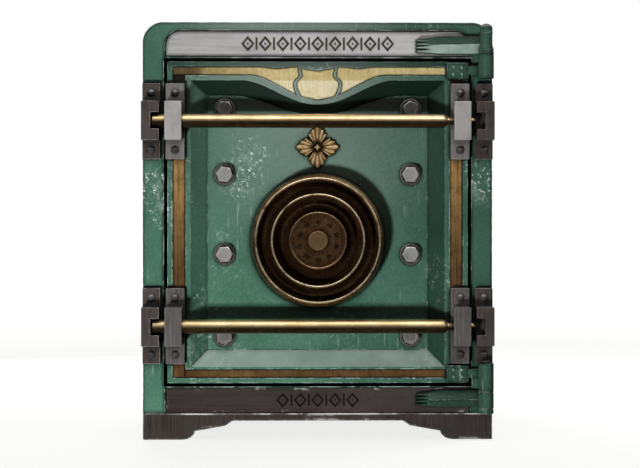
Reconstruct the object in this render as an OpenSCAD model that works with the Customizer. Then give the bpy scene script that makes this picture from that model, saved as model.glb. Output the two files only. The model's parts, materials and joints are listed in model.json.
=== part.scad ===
// Front-opening floor safe: a filled steel cabinet on a bracket-foot plinth, with one door
// hung on two stand-off hinges at the right. The door carries a combination dial inside a
// bolt-throwing handwheel, three live bolts behind it, and two hand-slid brass lock rods.
// Millimetres. +Z up, the front faces -Y. Depths d run back from the front frame's face.

/* [Cabinet] */
// Width over the casing
body_w = 500; // [420:10:620]
// Height from the floor to the top of the casing
body_h = 597; // [500:1:720]
// Depth from the front frame's face to the back panel
body_d = 440; // [360:10:560]
// Outer radius of the two top corners
corner_r = 29; // [20:1:36]
// Sheet thickness of the outer casing
casing_t = 6; // [4:1:8]
// Thickness of the front frame plate
frame_t = 12; // [10:1:16]
// Thickness of the back panel
back_t = 8; // [6:1:12]
// Visible width of the frame beside the door
jamb_w = 30; // [26:1:38]
// Depth of the jamb behind the front frame
jamb_depth = 76; // [74:1:90]
// How far the door stop stands into the opening
stop_w = 11; // [9:1:12]
// Wall of the jamb round the opening
jamb_wall = 8; // [6:1:9]
// Sheet thickness of the inner lining
lining_t = 3; // [2:0.5:4]
// Filling left between the lining and the back panel
back_filling = 52; // [40:1:70]

/* [Plinth] */
// Height of the plinth
plinth_h = 38; // [34:1:46]
// Height of the arch under the apron
arch_h = 27; // [22:1:28]
// Thickness of the skirt
skirt_t = 14; // [10:1:18]
// Thickness of the deck under the casing
deck_t = 8; // [6:1:9]
// Width of each foot on the floor
foot_w = 56; // [46:1:68]
// How far the plinth stands proud of the front frame
plinth_proud = 2; // [1:0.5:4]

/* [Header and sill] */
// Height of the header plate
header_h = 35; // [29:1:42]
// Frame showing above the header plate
header_gap = 13; // [10:1:16]
// Height of the sill plate
sill_h = 36; // [30:1:44]
// Thickness of both plates
trim_t = 5; // [4:0.5:6]
// Depth of both pockets
trim_pocket = 6; // [5.5:0.5:8]
// Dark gap round both plates
trim_gap = 1.5; // [1:0.1:2]

/* [Door] */
// Gap all round the door
door_gap = 5; // [4:0.5:6]
// Thickness of the door slab at its rim
slab_t = 34; // [32:1:36]
// Depth of the recess to the face of the bolted panel
recess_d = 20; // [16:1:22]
// Thickness of the bolted panel
panel_t = 8; // [6:1:9]
// Width of the sloping side of the recess
slope_w = 23; // [18:1:27]
// Depth of the door case behind the slab
case_depth = 46; // [45:1:50]
// Wall of the door case
case_t = 4; // [3:0.5:5]
// Gap between the door case and the door stop
case_gap = 10; // [9:0.5:14]
// Thickness of the door's back cover
cover_t = 3; // [2:0.5:4]
// Thickness of the seal on the door stop
seal_t = 2; // [1:0.5:3]

/* [Brass inlay] */
// Rim left between the door's edge and the inlay
inlay_inset = 8; // [6:0.5:10]
// Width of the upright inlays
inlay_side_w = 17; // [14:0.5:20]
// Width of the top and bottom inlays
inlay_band_w = 11; // [9:0.5:13]
// Rim left between the inlay and the recess
inlay_border = 8; // [6:0.5:10]
// Thickness of the inlay
inlay_t = 2; // [1.5:0.5:3]
// Gap round the inlay
inlay_gap = 0.8; // [0.5:0.1:1.2]
// How far the crest swells down at the middle
crest_drop = 37; // [28:1:42]
// Half width of the crest's swell
crest_half = 96; // [80:1:115]

/* [Lock rods] */
// Diameter of the lock rods
rod_dia = 20; // [16:0.5:21]
// Diameter of the tail at the hinge end of each rod
tail_dia = 11; // [9:0.5:12]
// Height of the rod brackets above the door
bracket_h = 32; // [31:1:38]
// Length of each rod bracket
bracket_len = 108; // [92:1:126]
// Length of the raised block on each bracket
block_len = 55; // [46:1:64]
// Thickness of a bracket's foot
bracket_foot = 8; // [6:0.5:8.5]
// Width of the brackets on the door
guide_w = 27; // [25:1:30]
// Clearance round each rod in its bracket
rod_clear = 0.25; // [0.15:0.05:0.5]
// Distance from the door's top edge to the upper rod
rod_top_inset = 86; // [76:1:100]
// Distance from the door's bottom edge to the lower rod
rod_bottom_inset = 82; // [74:1:96]
// How far a rod shoots into its keeper
rod_throw = 9; // [6:0.5:9]

/* [Hinges] */
// Outside diameter of the hinge knuckles
knuckle_dia = 22; // [19:0.5:22]
// Hinge pin diameter
pin_dia = 8; // [7:0.5:9]
// Distance of the hinge axis in front of the frame
hinge_off = 20; // [19:0.5:22]
// Clearance round the hinge pin
pin_clear = 0.05; // [0.02:0.01:0.1]

/* [Dial and handwheel] */
// Outside diameter of the fixed bezel
bezel_dia = 193; // [165:1:200]
// Height of the bezel's rim over the panel
bezel_lip = 32; // [24:1:36]
// Outside diameter of the handwheel
wheel_dia = 144; // [122:1:150]
// Height of the handwheel's rim over the panel
wheel_lip = 46; // [38:1:52]
// Diameter of the combination dial's face
dial_dia = 82; // [70:1:90]
// Height of the dial's face over the panel
knob_face = 56; // [52:1:64]
// Diameter of the dial's centre cap
cap_dia = 28; // [24:1:34]
// Thickness of the dial's centre cap
cap_t = 8; // [5:1:12]
// Diameter of the handwheel's sleeve
sleeve_dia = 24; // [20:0.5:26]
// Diameter of the dial spindle
spindle_dia = 10; // [8:0.5:12]
// Drop of the dial below the door's middle
dial_drop = 26; // [10:1:34]
// Number of marks on the dial
dial_marks = 50; // [20:10:50]

/* [Bolts] */
// Width across flats of the panel bolts
hex_af = 21; // [18:1:27]
// Shank diameter of the panel bolts
hex_shank = 14; // [12:1:16]
// Diameter of the panel bolts' washers
washer_dia = 31; // [29:1:36]
// Diameter of the live bolts
live_dia = 20; // [17:0.5:21]
// Travel of the handwheel in degrees
wheel_turn = 80; // [60:1:84]
// Radius of the floor anchor holes
anchor_r = 7; // [5:0.5:9]

/* [Hidden] */
$fn = 64;

GREEN = [0.24, 0.45, 0.37];
STEEL = [0.40, 0.38, 0.40];
BRASS = [0.76, 0.60, 0.33];
BRONZE = [0.42, 0.30, 0.18];
BARE = [0.62, 0.62, 0.64];
CEMENT = [0.78, 0.76, 0.70];

// The opening and the door
lip = 3;
open_w = body_w - 2 * jamb_w;
open_z0 = plinth_h + sill_h + 2;
open_z1 = body_h - header_gap - header_h - lip;
door_w = open_w - 2 * door_gap;
door_z0 = open_z0 + door_gap;
door_z1 = open_z1 - door_gap;
door_mid = (door_z0 + door_z1) / 2;

// The origin is the middle of the overall footprint, so the front face's place depends on
// whatever stands furthest in front of it, and on the rivet heads at the back.
rivet_h = 3.5;
cap_reach = knob_face + cap_t;
front_reach = max(bracket_h, hinge_off + knuckle_dia / 2, cap_reach - recess_d);
front_y = front_reach - (body_d + rivet_h + front_reach) / 2;

// Depths behind the front frame's face
stop_d = slab_t + seal_t;
jamb_d1 = frame_t + jamb_depth;
case_d0 = slab_t;
case_d1 = case_d0 + case_depth;
lining_d1 = body_d - back_t - back_filling;
fill_d1 = body_d - back_t;

// The cavity behind the door
cav_w = open_w - 2 * stop_w;
cav_z0 = open_z0 + stop_w;
cav_z1 = open_z1 - stop_w;
case_w = cav_w - 2 * case_gap;
case_z0 = cav_z0 + case_gap;
case_z1 = cav_z1 - case_gap;

// The recess and its panel
rim_side = inlay_inset + inlay_side_w + inlay_border;
rim_w = door_w - 2 * rim_side;
rim_z0 = door_z0 + inlay_inset + inlay_band_w + inlay_border / 2;
rim_z1 = door_z1 - inlay_inset - inlay_band_w - inlay_border;
well_w = rim_w - 2 * slope_w;
well_z0 = rim_z0 + slope_w;
well_z1 = rim_z1 - slope_w + 3;
panel_gap = 0.4;

// Lock rods and their brackets
rod_r = rod_dia / 2;
tail_r = tail_dia / 2;
rod_d = -(bracket_h - 3 - rod_r);
rod_upper_z = door_z1 - rod_top_inset;
rod_lower_z = door_z0 + rod_bottom_inset;
keeper_in = open_w / 2 + 5;
keeper_out = body_w / 2;
notch_depth = 12;
notch_h = rod_dia + 3.5;
guide_out = door_w / 2 + 2;
guide_block_w = guide_w - 3;
rod_left = -(keeper_in + notch_depth - 1);
rod_shoulder = guide_out - guide_w - 4;
tail_tip = keeper_in;
screw_r = 6;
screw_h = 4;
shank_r = 3;
shank_hole_r = shank_r + 0.1;
screw_inset = (bracket_len - block_len) / 4;
leaf_shank_r = 1.5;
leaf_hole_r = leaf_shank_r + 0.05;

// Hinge axis
hinge_x = body_w / 2 - knuckle_dia / 2;
pin_r = pin_dia / 2;
knuckle_r = knuckle_dia / 2;
header_z0 = open_z1 + lip;
sill_z0 = plinth_h + 0.5;
sill_z1 = sill_z0 + sill_h - 0.5;
upper_split = header_z0;
lower_split = sill_z1 - 1;
leaf_knuckle = 34;
arm_tip_x = hinge_x - 100;
split_gap = 0.5;
leaf_plate_w = 31;
leaf_plate_h = 22;
leaf_t = 5;

// Dial, handwheel and boltwork
dial_z = door_mid - dial_drop;
sleeve_r = sleeve_dia / 2;
spindle_r = spindle_dia / 2;
run_clear = 0.05;
bush_wall = 3;
bush_r = sleeve_r + bush_wall;
gear_module = 2;
gear_teeth = 18;
gear_r = gear_module * gear_teeth / 2;
bolt_travel = gear_r * wheel_turn * PI / 180;
pinion_d0 = case_d0 + 4;
pinion_d1 = pinion_d0 + 10;
lock_d0 = pinion_d1 + 3;
lock_d1 = case_d1;
live_r = live_dia / 2;
live_d = case_d0 + 16;
live_zs = [for (i = [-1:1]) door_mid + i * 130];
live_tip = -(case_w / 2);
live_len = 70;
carrier_w = 12;
carrier_x1 = live_tip + live_len + carrier_w - 6;
panel_bolt_x = well_w / 2 - 25;
panel_bolt_zs = [well_z1 - 20, well_z1 - 114, well_z0 + 138, well_z0 + 20];
panel_bolt_turns = [8, 0, 14, 22, 4, 10, 27, 18];

// Shapes in the plane of the front are drawn as [x, z], and plate() gives them their depths.
module plate(d0, d1) {
    translate([0, front_y + d1, 0]) rotate([90, 0, 0]) linear_extrude(d1 - d0) children();
}

// A box from its sides in x, its depths and its heights
module block(x0, x1, d0, d1, z0, z1) {
    translate([x0, front_y + d0, z0]) cube([x1 - x0, d1 - d0, z1 - z0]);
}

// A round bar along the depth
module bar_d(x, z, r, d0, d1) {
    translate([x, front_y + d0, z]) rotate([-90, 0, 0]) cylinder(r = r, h = d1 - d0);
}

// A round bar across the width
module bar_x(x0, x1, d, z, r) {
    translate([x0, front_y + d, z]) rotate([0, 90, 0]) cylinder(r = r, h = x1 - x0);
}

// The chamfered left end of a round bar across the width
module tapered_tip(x, d, z, r) {
    translate([x, front_y + d, z]) rotate([0, 90, 0]) cylinder(r1 = r - 2, r2 = r, h = 2);
}

// A turned part on the dial's axis: profile points are [radius, height over the panel's face]
module turned(points) {
    translate([0, front_y + recess_d, dial_z]) rotate([90, 0, 0]) rotate_extrude() polygon(points);
}

module rect(x0, x1, z0, z1) {
    translate([x0, z0]) square([x1 - x0, z1 - z0]);
}

// The casing's outline: square below, round at its two top corners
module arched(w, z0, z1, r) {
    rect(-w / 2, w / 2, z0, z1 - r);
    rect(-w / 2 + r, w / 2 - r, z0, z1);
    for (s = [-1, 1]) translate([s * (w / 2 - r), z1 - r]) circle(r);
}

function arc(cx, cy, r, a0, a1, n) =
    [for (i = [0:n]) let (a = a0 + (a1 - a0) * i / n) [cx + r * cos(a), cy + r * sin(a)]];

// A round head on the front of something, with its shank behind it
module dome_screw(x, z, d, head_r, head_h, shank_r, shank_len) {
    ball = (head_r * head_r + head_h * head_h) / (2 * head_h);
    intersection() {
        translate([x, front_y + d - head_h + ball, z]) sphere(ball);
        bar_d(x, z, head_r + 1, d - head_h - 1, d);
    }
    bar_d(x, z, shank_r, d - 0.01, d + shank_len);
}

// ---- Cabinet ----

// One side of the plinth, drawn as [along, height]: two feet joined by the apron
module foot_profile(w) {
    run = 62;
    toe = 18;
    half = w / 2;
    curve = [for (i = [0:4]) let (a = 90 * i / 4) [toe * sin(a), (arch_h * 0.45) * (1 - cos(a))]];
    left = concat([[-half, 0], [-half + foot_w, 0]], [for (p = curve) [-half + foot_w + p[0], p[1]]],
        [[-half + foot_w + run, arch_h * 0.74], [-half + foot_w + run + 10, arch_h]]);
    right = [for (i = [len(left) - 1:-1:0]) [-left[i][0], left[i][1]]];
    polygon(concat(left, right, [[half, plinth_h], [-half, plinth_h]]));
}

module plinth() {
    d0 = -plinth_proud;
    color(STEEL) {
        plate(d0, d0 + skirt_t) foot_profile(body_w);
        plate(body_d - skirt_t, body_d) foot_profile(body_w);
        for (s = [-1, 1]) translate([s * body_w / 2 - (s > 0 ? skirt_t : 0), 0, 0])
            translate([0, front_y + (body_d + d0) / 2, 0]) rotate([90, 0, 90])
                linear_extrude(skirt_t) foot_profile(body_d - d0);
    }
}

// The deck let into the plinth, which the casing stands on
module base_plate() {
    color(STEEL) difference() {
        block(-body_w / 2 + skirt_t, body_w / 2 - skirt_t, skirt_t - plinth_proud, body_d - skirt_t,
            plinth_h - deck_t, plinth_h);
        anchor_holes(0, plinth_h + 1);
    }
}

// The four floor anchor holes, drilled straight up through the base
anchor_x = cav_w / 2 - 54;
anchor_ds = [jamb_d1 + 42, lining_d1 - 40];
module anchor_holes(z0, z1) {
    for (x = [-anchor_x, anchor_x], d = anchor_ds)
        translate([x, front_y + d, z0]) cylinder(r = anchor_r, h = z1 - z0);
}

module outer_casing() {
    color(GREEN) difference() {
        plate(frame_t, fill_d1) arched(body_w, plinth_h, body_h, corner_r);
        plate(frame_t - 1, fill_d1 + 1)
            arched(body_w - 2 * casing_t, plinth_h + casing_t, body_h - casing_t, corner_r - casing_t);
        anchor_holes(plinth_h - 1, plinth_h + casing_t + 1);
    }
}

rivet_pitch = 8;
function rivet_places() = [for (s = [-1, 1], i = [0:rivet_pitch - 1])
    [s * (body_w / 2 - 14), plinth_h + 24 + i * (body_h - plinth_h - 70) / (rivet_pitch - 1)]];

module back_panel() {
    color(GREEN) difference() {
        plate(fill_d1, body_d) arched(body_w, plinth_h, body_h, corner_r);
        for (p = rivet_places()) bar_d(p[0], p[1], shank_hole_r, fill_d1 - 1, body_d + 1);
    }
}

module back_rivets() {
    color(STEEL) for (p = rivet_places())
        translate([0, 2 * front_y + 2 * body_d, 0]) mirror([0, 1, 0])
            dome_screw(p[0], p[1], body_d, screw_r + 0.5, rivet_h, shank_r, back_t - 0.5);
}

header_r = corner_r - 8;
module header_outline(grow) {
    x = open_w / 2 - 3 + grow;
    z0 = header_z0 - grow;
    z1 = header_z0 + header_h + grow;
    intersection() {
        arched(2 * x, z0 - header_r, z1, header_r);
        rect(-x, x, z0, z1);
    }
}

module sill_outline(grow) {
    x = open_w / 2 - 3 + grow;
    rect(-x, x, sill_z0 - (grow > 0 ? 1 : 0), sill_z1 + min(grow, 0.75));
}

module front_frame() {
    color(GREEN) difference() {
        plate(0, frame_t) arched(body_w, plinth_h, body_h, corner_r);
        plate(-1, frame_t + 1) rect(-open_w / 2, open_w / 2, open_z0, open_z1);
        plate(-1, trim_pocket) header_outline(trim_gap);
        plate(-1, trim_pocket) sill_outline(trim_gap);
        for (s = [-1, 1], z = [rod_lower_z, rod_upper_z], v = [-1, 1])
            bar_d(s * keeper_mid, z + v * (bracket_len / 2 - screw_inset), shank_hole_r,
                -1, frame_t - 1);
    }
}

// Engraved trim: a row of lozenges parted by upright bars
module lozenge_row(n, pitch, z, h) {
    groove = 2.2;
    half = pitch * 0.37;
    for (i = [0:n - 1]) translate([(i - (n - 1) / 2) * pitch, z]) {
        difference() {
            polygon([[-half, 0], [0, h / 2], [half, 0], [0, -h / 2]]);
            polygon([[-half + groove * 1.5, 0], [0, h / 2 - groove * 1.8],
                [half - groove * 1.5, 0], [0, -h / 2 + groove * 1.8]]);
        }
        square(groove, center = true);
        if (i < n - 1) translate([pitch / 2, 0]) square([groove, h * 0.8], center = true);
    }
}

engrave = 1.5;
module header_plate() {
    d0 = trim_pocket - trim_t;
    color(STEEL) difference() {
        plate(d0, trim_pocket) header_outline(0);
        plate(d0 - 1, d0 + engrave)
            lozenge_row(9, 25, header_z0 + header_h / 2, header_h * 0.62);
    }
}

module sill_plate() {
    d0 = trim_pocket - trim_t;
    color(STEEL) difference() {
        plate(d0, trim_pocket) sill_outline(0);
        plate(d0 - 1, d0 + engrave)
            lozenge_row(5, 25, (sill_z0 + sill_z1) / 2, sill_h * 0.6);
    }
}

module jamb_frame() {
    color(GREEN) difference() {
        plate(frame_t, jamb_d1)
            rect(-open_w / 2 - jamb_wall, open_w / 2 + jamb_wall, open_z0 - jamb_wall, open_z1 + jamb_wall);
        plate(frame_t - 1, stop_d) rect(-open_w / 2, open_w / 2, open_z0, open_z1);
        plate(stop_d - 1, jamb_d1 + 1) rect(-cav_w / 2, cav_w / 2, cav_z0, cav_z1);
        for (z = live_zs)
            bar_x(-open_w / 2 - jamb_wall - 1, -cav_w / 2 + 1, live_d, z, live_r + 1);
    }
}

module door_seal() {
    inset = 2;
    w = stop_w - 2 * inset;
    color([0.15, 0.15, 0.15]) difference() {
        plate(stop_d - seal_t, stop_d)
            rect(-open_w / 2 + inset, open_w / 2 - inset, open_z0 + inset, open_z1 - inset);
        plate(stop_d - seal_t - 1, stop_d + 1)
            rect(-open_w / 2 + inset + w, open_w / 2 - inset - w, open_z0 + inset + w, open_z1 - inset - w);
    }
}

module fire_filling() {
    color(CEMENT) difference() {
        plate(frame_t, fill_d1)
            arched(body_w - 2 * casing_t, plinth_h + casing_t, body_h - casing_t, corner_r - casing_t);
        plate(frame_t - 1, jamb_d1)
            rect(-open_w / 2 - jamb_wall, open_w / 2 + jamb_wall, open_z0 - jamb_wall, open_z1 + jamb_wall);
        plate(jamb_d1 - 1, lining_d1)
            rect(-cav_w / 2 - lining_t, cav_w / 2 + lining_t, cav_z0 - lining_t, cav_z1 + lining_t);
        anchor_holes(plinth_h, cav_z0);
    }
}

// The lining is three sheets: a hood folded over both sides and the top, a floor and a back.
lining_x = cav_w / 2 + lining_t;
lining_back_d = lining_d1 - lining_t;
module lining_hood() {
    color(BARE) difference() {
        plate(jamb_d1, lining_back_d) rect(-lining_x, lining_x, cav_z0, cav_z1 + lining_t);
        plate(jamb_d1 - 1, lining_d1) rect(-cav_w / 2, cav_w / 2, cav_z0 - 1, cav_z1);
    }
}

module lining_floor() {
    color(BARE) difference() {
        block(-lining_x, lining_x, jamb_d1, lining_back_d, cav_z0 - lining_t, cav_z0);
        anchor_holes(cav_z0 - lining_t - 1, cav_z0 + 1);
    }
}

module lining_back() {
    color(BARE) block(-lining_x, lining_x, lining_back_d, lining_d1, cav_z0 - lining_t, cav_z1 + lining_t);
}

shelf_z = cav_z0 + (cav_z1 - cav_z0) * 0.48;
shelf_t = 4;
shelf_lip = 14;
module shelf() {
    x = cav_w / 2 - 2;
    d0 = jamb_d1 + 14;
    color(BARE) {
        block(-x, x, d0, lining_back_d - 2, shelf_z, shelf_z + shelf_t);
        block(-x, x, d0, d0 + shelf_t, shelf_z - shelf_lip, shelf_z + 0.5);
    }
}

module shelf_supports() {
    leg = 20;
    color(STEEL) for (s = [-1, 1]) {
        a = s * cav_w / 2;
        b = a - s * leg;
        c = a - s * shelf_t;
        block(min(a, b), max(a, b), jamb_d1 + 24, lining_d1 - 30, shelf_z - shelf_t, shelf_z);
        block(min(a, c), max(a, c), jamb_d1 + 24, lining_d1 - 30, shelf_z - leg, shelf_z - shelf_t + 0.5);
    }
}

keeper_mid = (keeper_in + keeper_out) / 2;
// A keeper for a rod: foot, raised block, open notch, and on the lock side a blind socket
module keeper(s, z) {
    a = s * keeper_in;
    b = s * keeper_out;
    mouth = a + s * notch_depth;
    socket = mouth + s * (rod_throw + 1);
    color(STEEL) difference() {
        union() {
            block(min(a, b), max(a, b), -bracket_foot, 0, z - bracket_len / 2, z + bracket_len / 2);
            block(min(a, b), max(a, b), -bracket_h, -bracket_foot + 0.5,
                z - block_len / 2, z + block_len / 2);
        }
        block(min(a - s, mouth), max(a - s, mouth), -bracket_h - 1, -bracket_foot,
            z - notch_h / 2, z + notch_h / 2);
        if (s < 0) bar_x(socket, mouth + 1, rod_d, z, rod_r + rod_clear);
        for (v = [-1, 1])
            bar_d(s * keeper_mid, z + v * (bracket_len / 2 - screw_inset), shank_hole_r,
                -bracket_foot - 1, 1);
    }
}

module keeper_screws() {
    color(BARE) for (s = [-1, 1], z = [rod_lower_z, rod_upper_z], v = [-1, 1])
        dome_screw(s * keeper_mid, z + v * (bracket_len / 2 - screw_inset), -bracket_foot,
            screw_r, screw_h, shank_r, bracket_foot + frame_t - 3);
}

// The fixed half of a hinge: a ridged strap with a three-lobed end, and its knuckle
module hinge_arm(z0, z1, k0, k1, up) {
    back = trim_pocket - trim_t;
    ridge = -(hinge_off - 1);
    mid = (z0 + z1) / 2;
    x0 = arm_tip_x + 12;
    x1 = hinge_x - 4;
    edge = -7;
    lobe = (z1 - z0) / 6;
    color(GREEN) difference() {
        union() {
            hull() {
                translate([x0, 0, 0]) rotate([90, 0, 90]) linear_extrude(1)
                    polygon([[front_y + back, z0 + 3], [front_y + edge, z0 + 3], [front_y + ridge + 5, mid],
                        [front_y + edge, z1 - 3], [front_y + back, z1 - 3]]);
                translate([x1, 0, 0]) rotate([90, 0, 90]) linear_extrude(1)
                    polygon([[front_y + back, z0], [front_y + edge - 2, z0], [front_y + ridge, mid],
                        [front_y + edge - 2, z1], [front_y + back, z1]]);
            }
            for (i = [-1:1]) {
                z = mid + i * lobe * 1.8;
                bar_x(arm_tip_x + lobe + abs(i) * 3, x0 + 6, edge - 1, z, lobe);
                translate([arm_tip_x + lobe + abs(i) * 3, front_y + edge - 1, z]) sphere(lobe);
            }
            if (up) {
                translate([hinge_x, front_y - hinge_off, k0 + 1]) {
                    cylinder(r = knuckle_r, h = 4);
                    translate([0, 0, 3.9]) cylinder(r1 = knuckle_r, r2 = knuckle_r - 2, h = 8);
                    translate([0, 0, 11.8]) cylinder(r = knuckle_r - 2, h = k1 - k0 - 12.8);
                }
            } else {
                translate([hinge_x, front_y - hinge_off, k0]) cylinder(r = knuckle_r, h = k1 - k0);
            }
        }
        translate([hinge_x, front_y - hinge_off, k0 - 1]) cylinder(r = pin_r, h = k1 - k0 + 2);
        plate(0, back + 1) difference() {
            rect(0, body_w, z0 - 1, z1 + 1);
            header_outline(trim_gap);
            sill_outline(trim_gap);
        }
    }
}

upper_arm_z0 = header_z0 + 1;
upper_arm_z1 = header_z0 + 28;
upper_knuckle_z1 = header_z0 + header_h + 5;
lower_arm_z1 = lower_split - 1;
lower_arm_z0 = lower_split - 27;
lower_knuckle_z0 = plinth_h + 1;

module hinge_pin(z0, z1, head_up) {
    color(BARE) translate([hinge_x, front_y - hinge_off, 0]) {
        translate([0, 0, z0]) cylinder(r = pin_r, h = z1 - z0);
        if (head_up) translate([0, 0, z1 - 0.01]) intersection() {
            translate([0, 0, -6]) sphere(10.5);
            cylinder(r = knuckle_r - 2.5, h = 6);
        }
        else translate([0, 0, z1 - 0.01]) cylinder(r = pin_r + 2, h = 3);
    }
}

// The door's half of a hinge: a riveted plate, a strap behind the barrel, and its knuckle
module hinge_leaf(plate_z, k0, k1) {
    strap_h = 13;
    strap_t = 7;
    x1 = door_w / 2 + 1;
    z = plate_z + leaf_plate_h / 2;
    strap_z = max(k0 + strap_h / 2, min(k1 - strap_h / 2, z));
    color(GREEN) difference() {
        union() {
            block(x1 - leaf_plate_w, x1, -leaf_t, 0, plate_z, plate_z + leaf_plate_h);
            block(x1 - 2, hinge_x, -1 - strap_t, -1, strap_z - strap_h / 2, strap_z + strap_h / 2);
            block(hinge_x - 4, hinge_x, -hinge_off, -1, strap_z - strap_h / 2, strap_z + strap_h / 2);
            translate([hinge_x, front_y - hinge_off, k0]) cylinder(r = knuckle_r, h = k1 - k0);
        }
        translate([hinge_x, front_y - hinge_off, k0 - 1]) cylinder(r = pin_r + pin_clear, h = k1 - k0 + 2);
        leaf_rivet_holes(plate_z, -leaf_t - 1, 1);
    }
}

upper_plate_z = door_z1 - 2 - leaf_plate_h;
lower_plate_z = door_z0 + 3;
upper_leaf_k1 = upper_split + 1 - split_gap;
upper_leaf_k0 = upper_leaf_k1 - leaf_knuckle;
lower_leaf_k0 = lower_split + split_gap;
lower_leaf_k1 = lower_leaf_k0 + leaf_knuckle + 3;

function leaf_rivet_places(plate_z) = [for (x = [-6, 6], z = [-5, 5])
    [door_w / 2 + 1 - leaf_plate_w / 2 + x, plate_z + leaf_plate_h / 2 + z]];
module leaf_rivet_holes(plate_z, d0, d1) {
    for (p = leaf_rivet_places(plate_z)) bar_d(p[0], p[1], leaf_hole_r, d0, d1);
}

module leaf_rivets() {
    color(GREEN) for (pz = [upper_plate_z, lower_plate_z], p = leaf_rivet_places(pz))
        dome_screw(p[0], p[1], -leaf_t, 2.6, 1.6, leaf_shank_r, leaf_t + 8);
}

// ---- Door ----

// The crest's swell: 1 at the middle, 0 at u = 1 and beyond
function swell(u) = abs(u) >= 1 ? 0 : pow((1 + cos(180 * u)) / 2, 0.85);
function dip(x, z, drop, half) = z - drop * swell(x / half);

// An outline with a flat foot, upright sides, and a top edge that dips in the middle
SWELL_N = 28;
function dipped(w, z0, z1, drop, half) =
    let (span = min(half, w / 2 - 1))
    concat([[-w / 2, z0], [w / 2, z0], [w / 2, z1]],
        [for (i = [SWELL_N:-1:-SWELL_N]) let (x = span * i / SWELL_N) [x, dip(x, z1, drop, half)]],
        [[-w / 2, z1]]);

rim_drop = crest_drop - 2;
rim_half = crest_half + 10;
well_drop = crest_drop - 9;
well_half = crest_half + 22;
function rim_points() = dipped(rim_w, rim_z0, rim_z1, rim_drop, rim_half);
function well_points(grow) =
    dipped(well_w + 2 * grow, well_z0 - grow, well_z1 + grow, well_drop, well_half);

// A frustum between two outlines with the same number of points
module loft(front, back, d0, d1) {
    n = len(front);
    points = concat([for (p = front) [p[0], front_y + d0, p[1]]],
        [for (p = back) [p[0], front_y + d1, p[1]]]);
    sides = [for (i = [0:n - 1]) let (j = (i + 1) % n) each [[i, j, n + j], [i, n + j, n + i]]];
    polyhedron(points, concat([[for (i = [n:-1:1]) i % n]], [[for (i = [0:n - 1]) n + i]], sides));
}

// The brass crest: a keystone between two wings, with a band running out to each side
band_z1 = door_z1 - inlay_inset;
band_z0 = band_z1 - inlay_band_w;
key_top = 24;
key_neck = 22;
key_cheek = 30;
key_tip_z = band_z0 - crest_drop + 1;
function blend(a, b, n) = [for (i = [1:n]) let (u = (1 - cos(180 * i / n)) / 2)
    [a[0] + (b[0] - a[0]) * u, a[1] + (b[1] - a[1]) * i / n]];
function key_side(grow) =
    let (z1 = band_z1 - 2 + grow, neck = band_z1 - 12, cheek = band_z0 - 12)
    concat([[key_top + grow, z1]],
        blend([key_top + grow, z1], [key_neck + grow, neck], 4),
        blend([key_neck + grow, neck], [key_cheek + grow, cheek], 5),
        arc(0, cheek - 0.01, key_cheek + grow, 0, -40, 4),
        [[0, key_tip_z - 1.4 * grow]]);
function key_points(grow) =
    let (right = key_side(grow), n = len(right))
    concat([[0, band_z1 - 6 + grow]], right, [for (i = [n - 2:-1:0]) [-right[i][0], right[i][1]]]);

module wing_outline(s, grow) {
    end = s > 0 ? door_w / 2 - leaf_plate_w - 1 : door_w / 2 - inlay_inset;
    top = [for (i = [0:SWELL_N]) let (x = end * i / SWELL_N)
        [s * (x + (i == SWELL_N ? grow : 0)), band_z1 + grow - 2.5 * swell((x - 58) / 22)]];
    low = [for (i = [SWELL_N:-1:0]) let (x = end * i / SWELL_N)
        [s * (x + (i == SWELL_N ? grow : 0)), dip(x, band_z0, crest_drop - 2, crest_half) - grow]];
    difference() {
        polygon(concat(top, low));
        polygon(key_points(5 - grow));
        rect(-key_neck, key_neck, key_tip_z - 20, band_z1 + 5);
    }
}

module side_outline(s, grow) {
    x0 = door_w / 2 - inlay_inset - inlay_side_w - grow;
    x1 = door_w / 2 - inlay_inset + grow;
    z1 = s > 0 ? upper_plate_z - 2 : band_z0 - 1;
    z0 = s > 0 ? lower_plate_z + leaf_plate_h + 2 : door_z0 + inlay_inset;
    rect(min(s * x0, s * x1), max(s * x0, s * x1), z0 - grow, z1 + grow);
}

// The upright inlays, with holes for the screws of the rod guides that sit on them
module side_inlays() {
    color(BRASS) for (s = [-1, 1]) difference() {
        plate(0, inlay_t) side_outline(s, 0);
        guide_screw_holes(s, inlay_t + 1);
    }
}

module bottom_outline(grow) {
    x0 = -(door_w / 2 - inlay_inset - inlay_side_w) + 1;
    x1 = door_w / 2 - leaf_plate_w - 1;
    rect(x0 - grow, x1 + grow, door_z0 + inlay_inset - grow, door_z0 + inlay_inset + inlay_band_w + grow);
}

module inlay_outlines(grow) {
    for (s = [-1, 1]) {
        side_outline(s, grow);
        wing_outline(s, grow);
    }
    bottom_outline(grow);
    polygon(key_points(grow));
}

module door_slab() {
    color(GREEN) difference() {
        plate(0, slab_t) rect(-door_w / 2, door_w / 2, door_z0, door_z1);
        loft(dipped(rim_w + slope_w / 10, rim_z0 - slope_w / 20, rim_z1 + slope_w / 20, rim_drop, rim_half),
            well_points(0), -1, recess_d);
        plate(recess_d - 0.01, recess_d + panel_t) polygon(well_points(0));
        plate(-1, inlay_t) inlay_outlines(inlay_gap);
        bar_d(0, dial_z, bush_r + run_clear, 1, slab_t + 1);
        for (s = [-1, 1], z = panel_bolt_zs) bar_d(s * panel_bolt_x, z, hex_shank / 2 + 0.1, 1, slab_t + 1);
        for (s = [-1, 1]) guide_screw_holes(s, 20);
        for (pz = [upper_plate_z, lower_plate_z]) leaf_rivet_holes(pz, -1, 10);
    }
}

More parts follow.
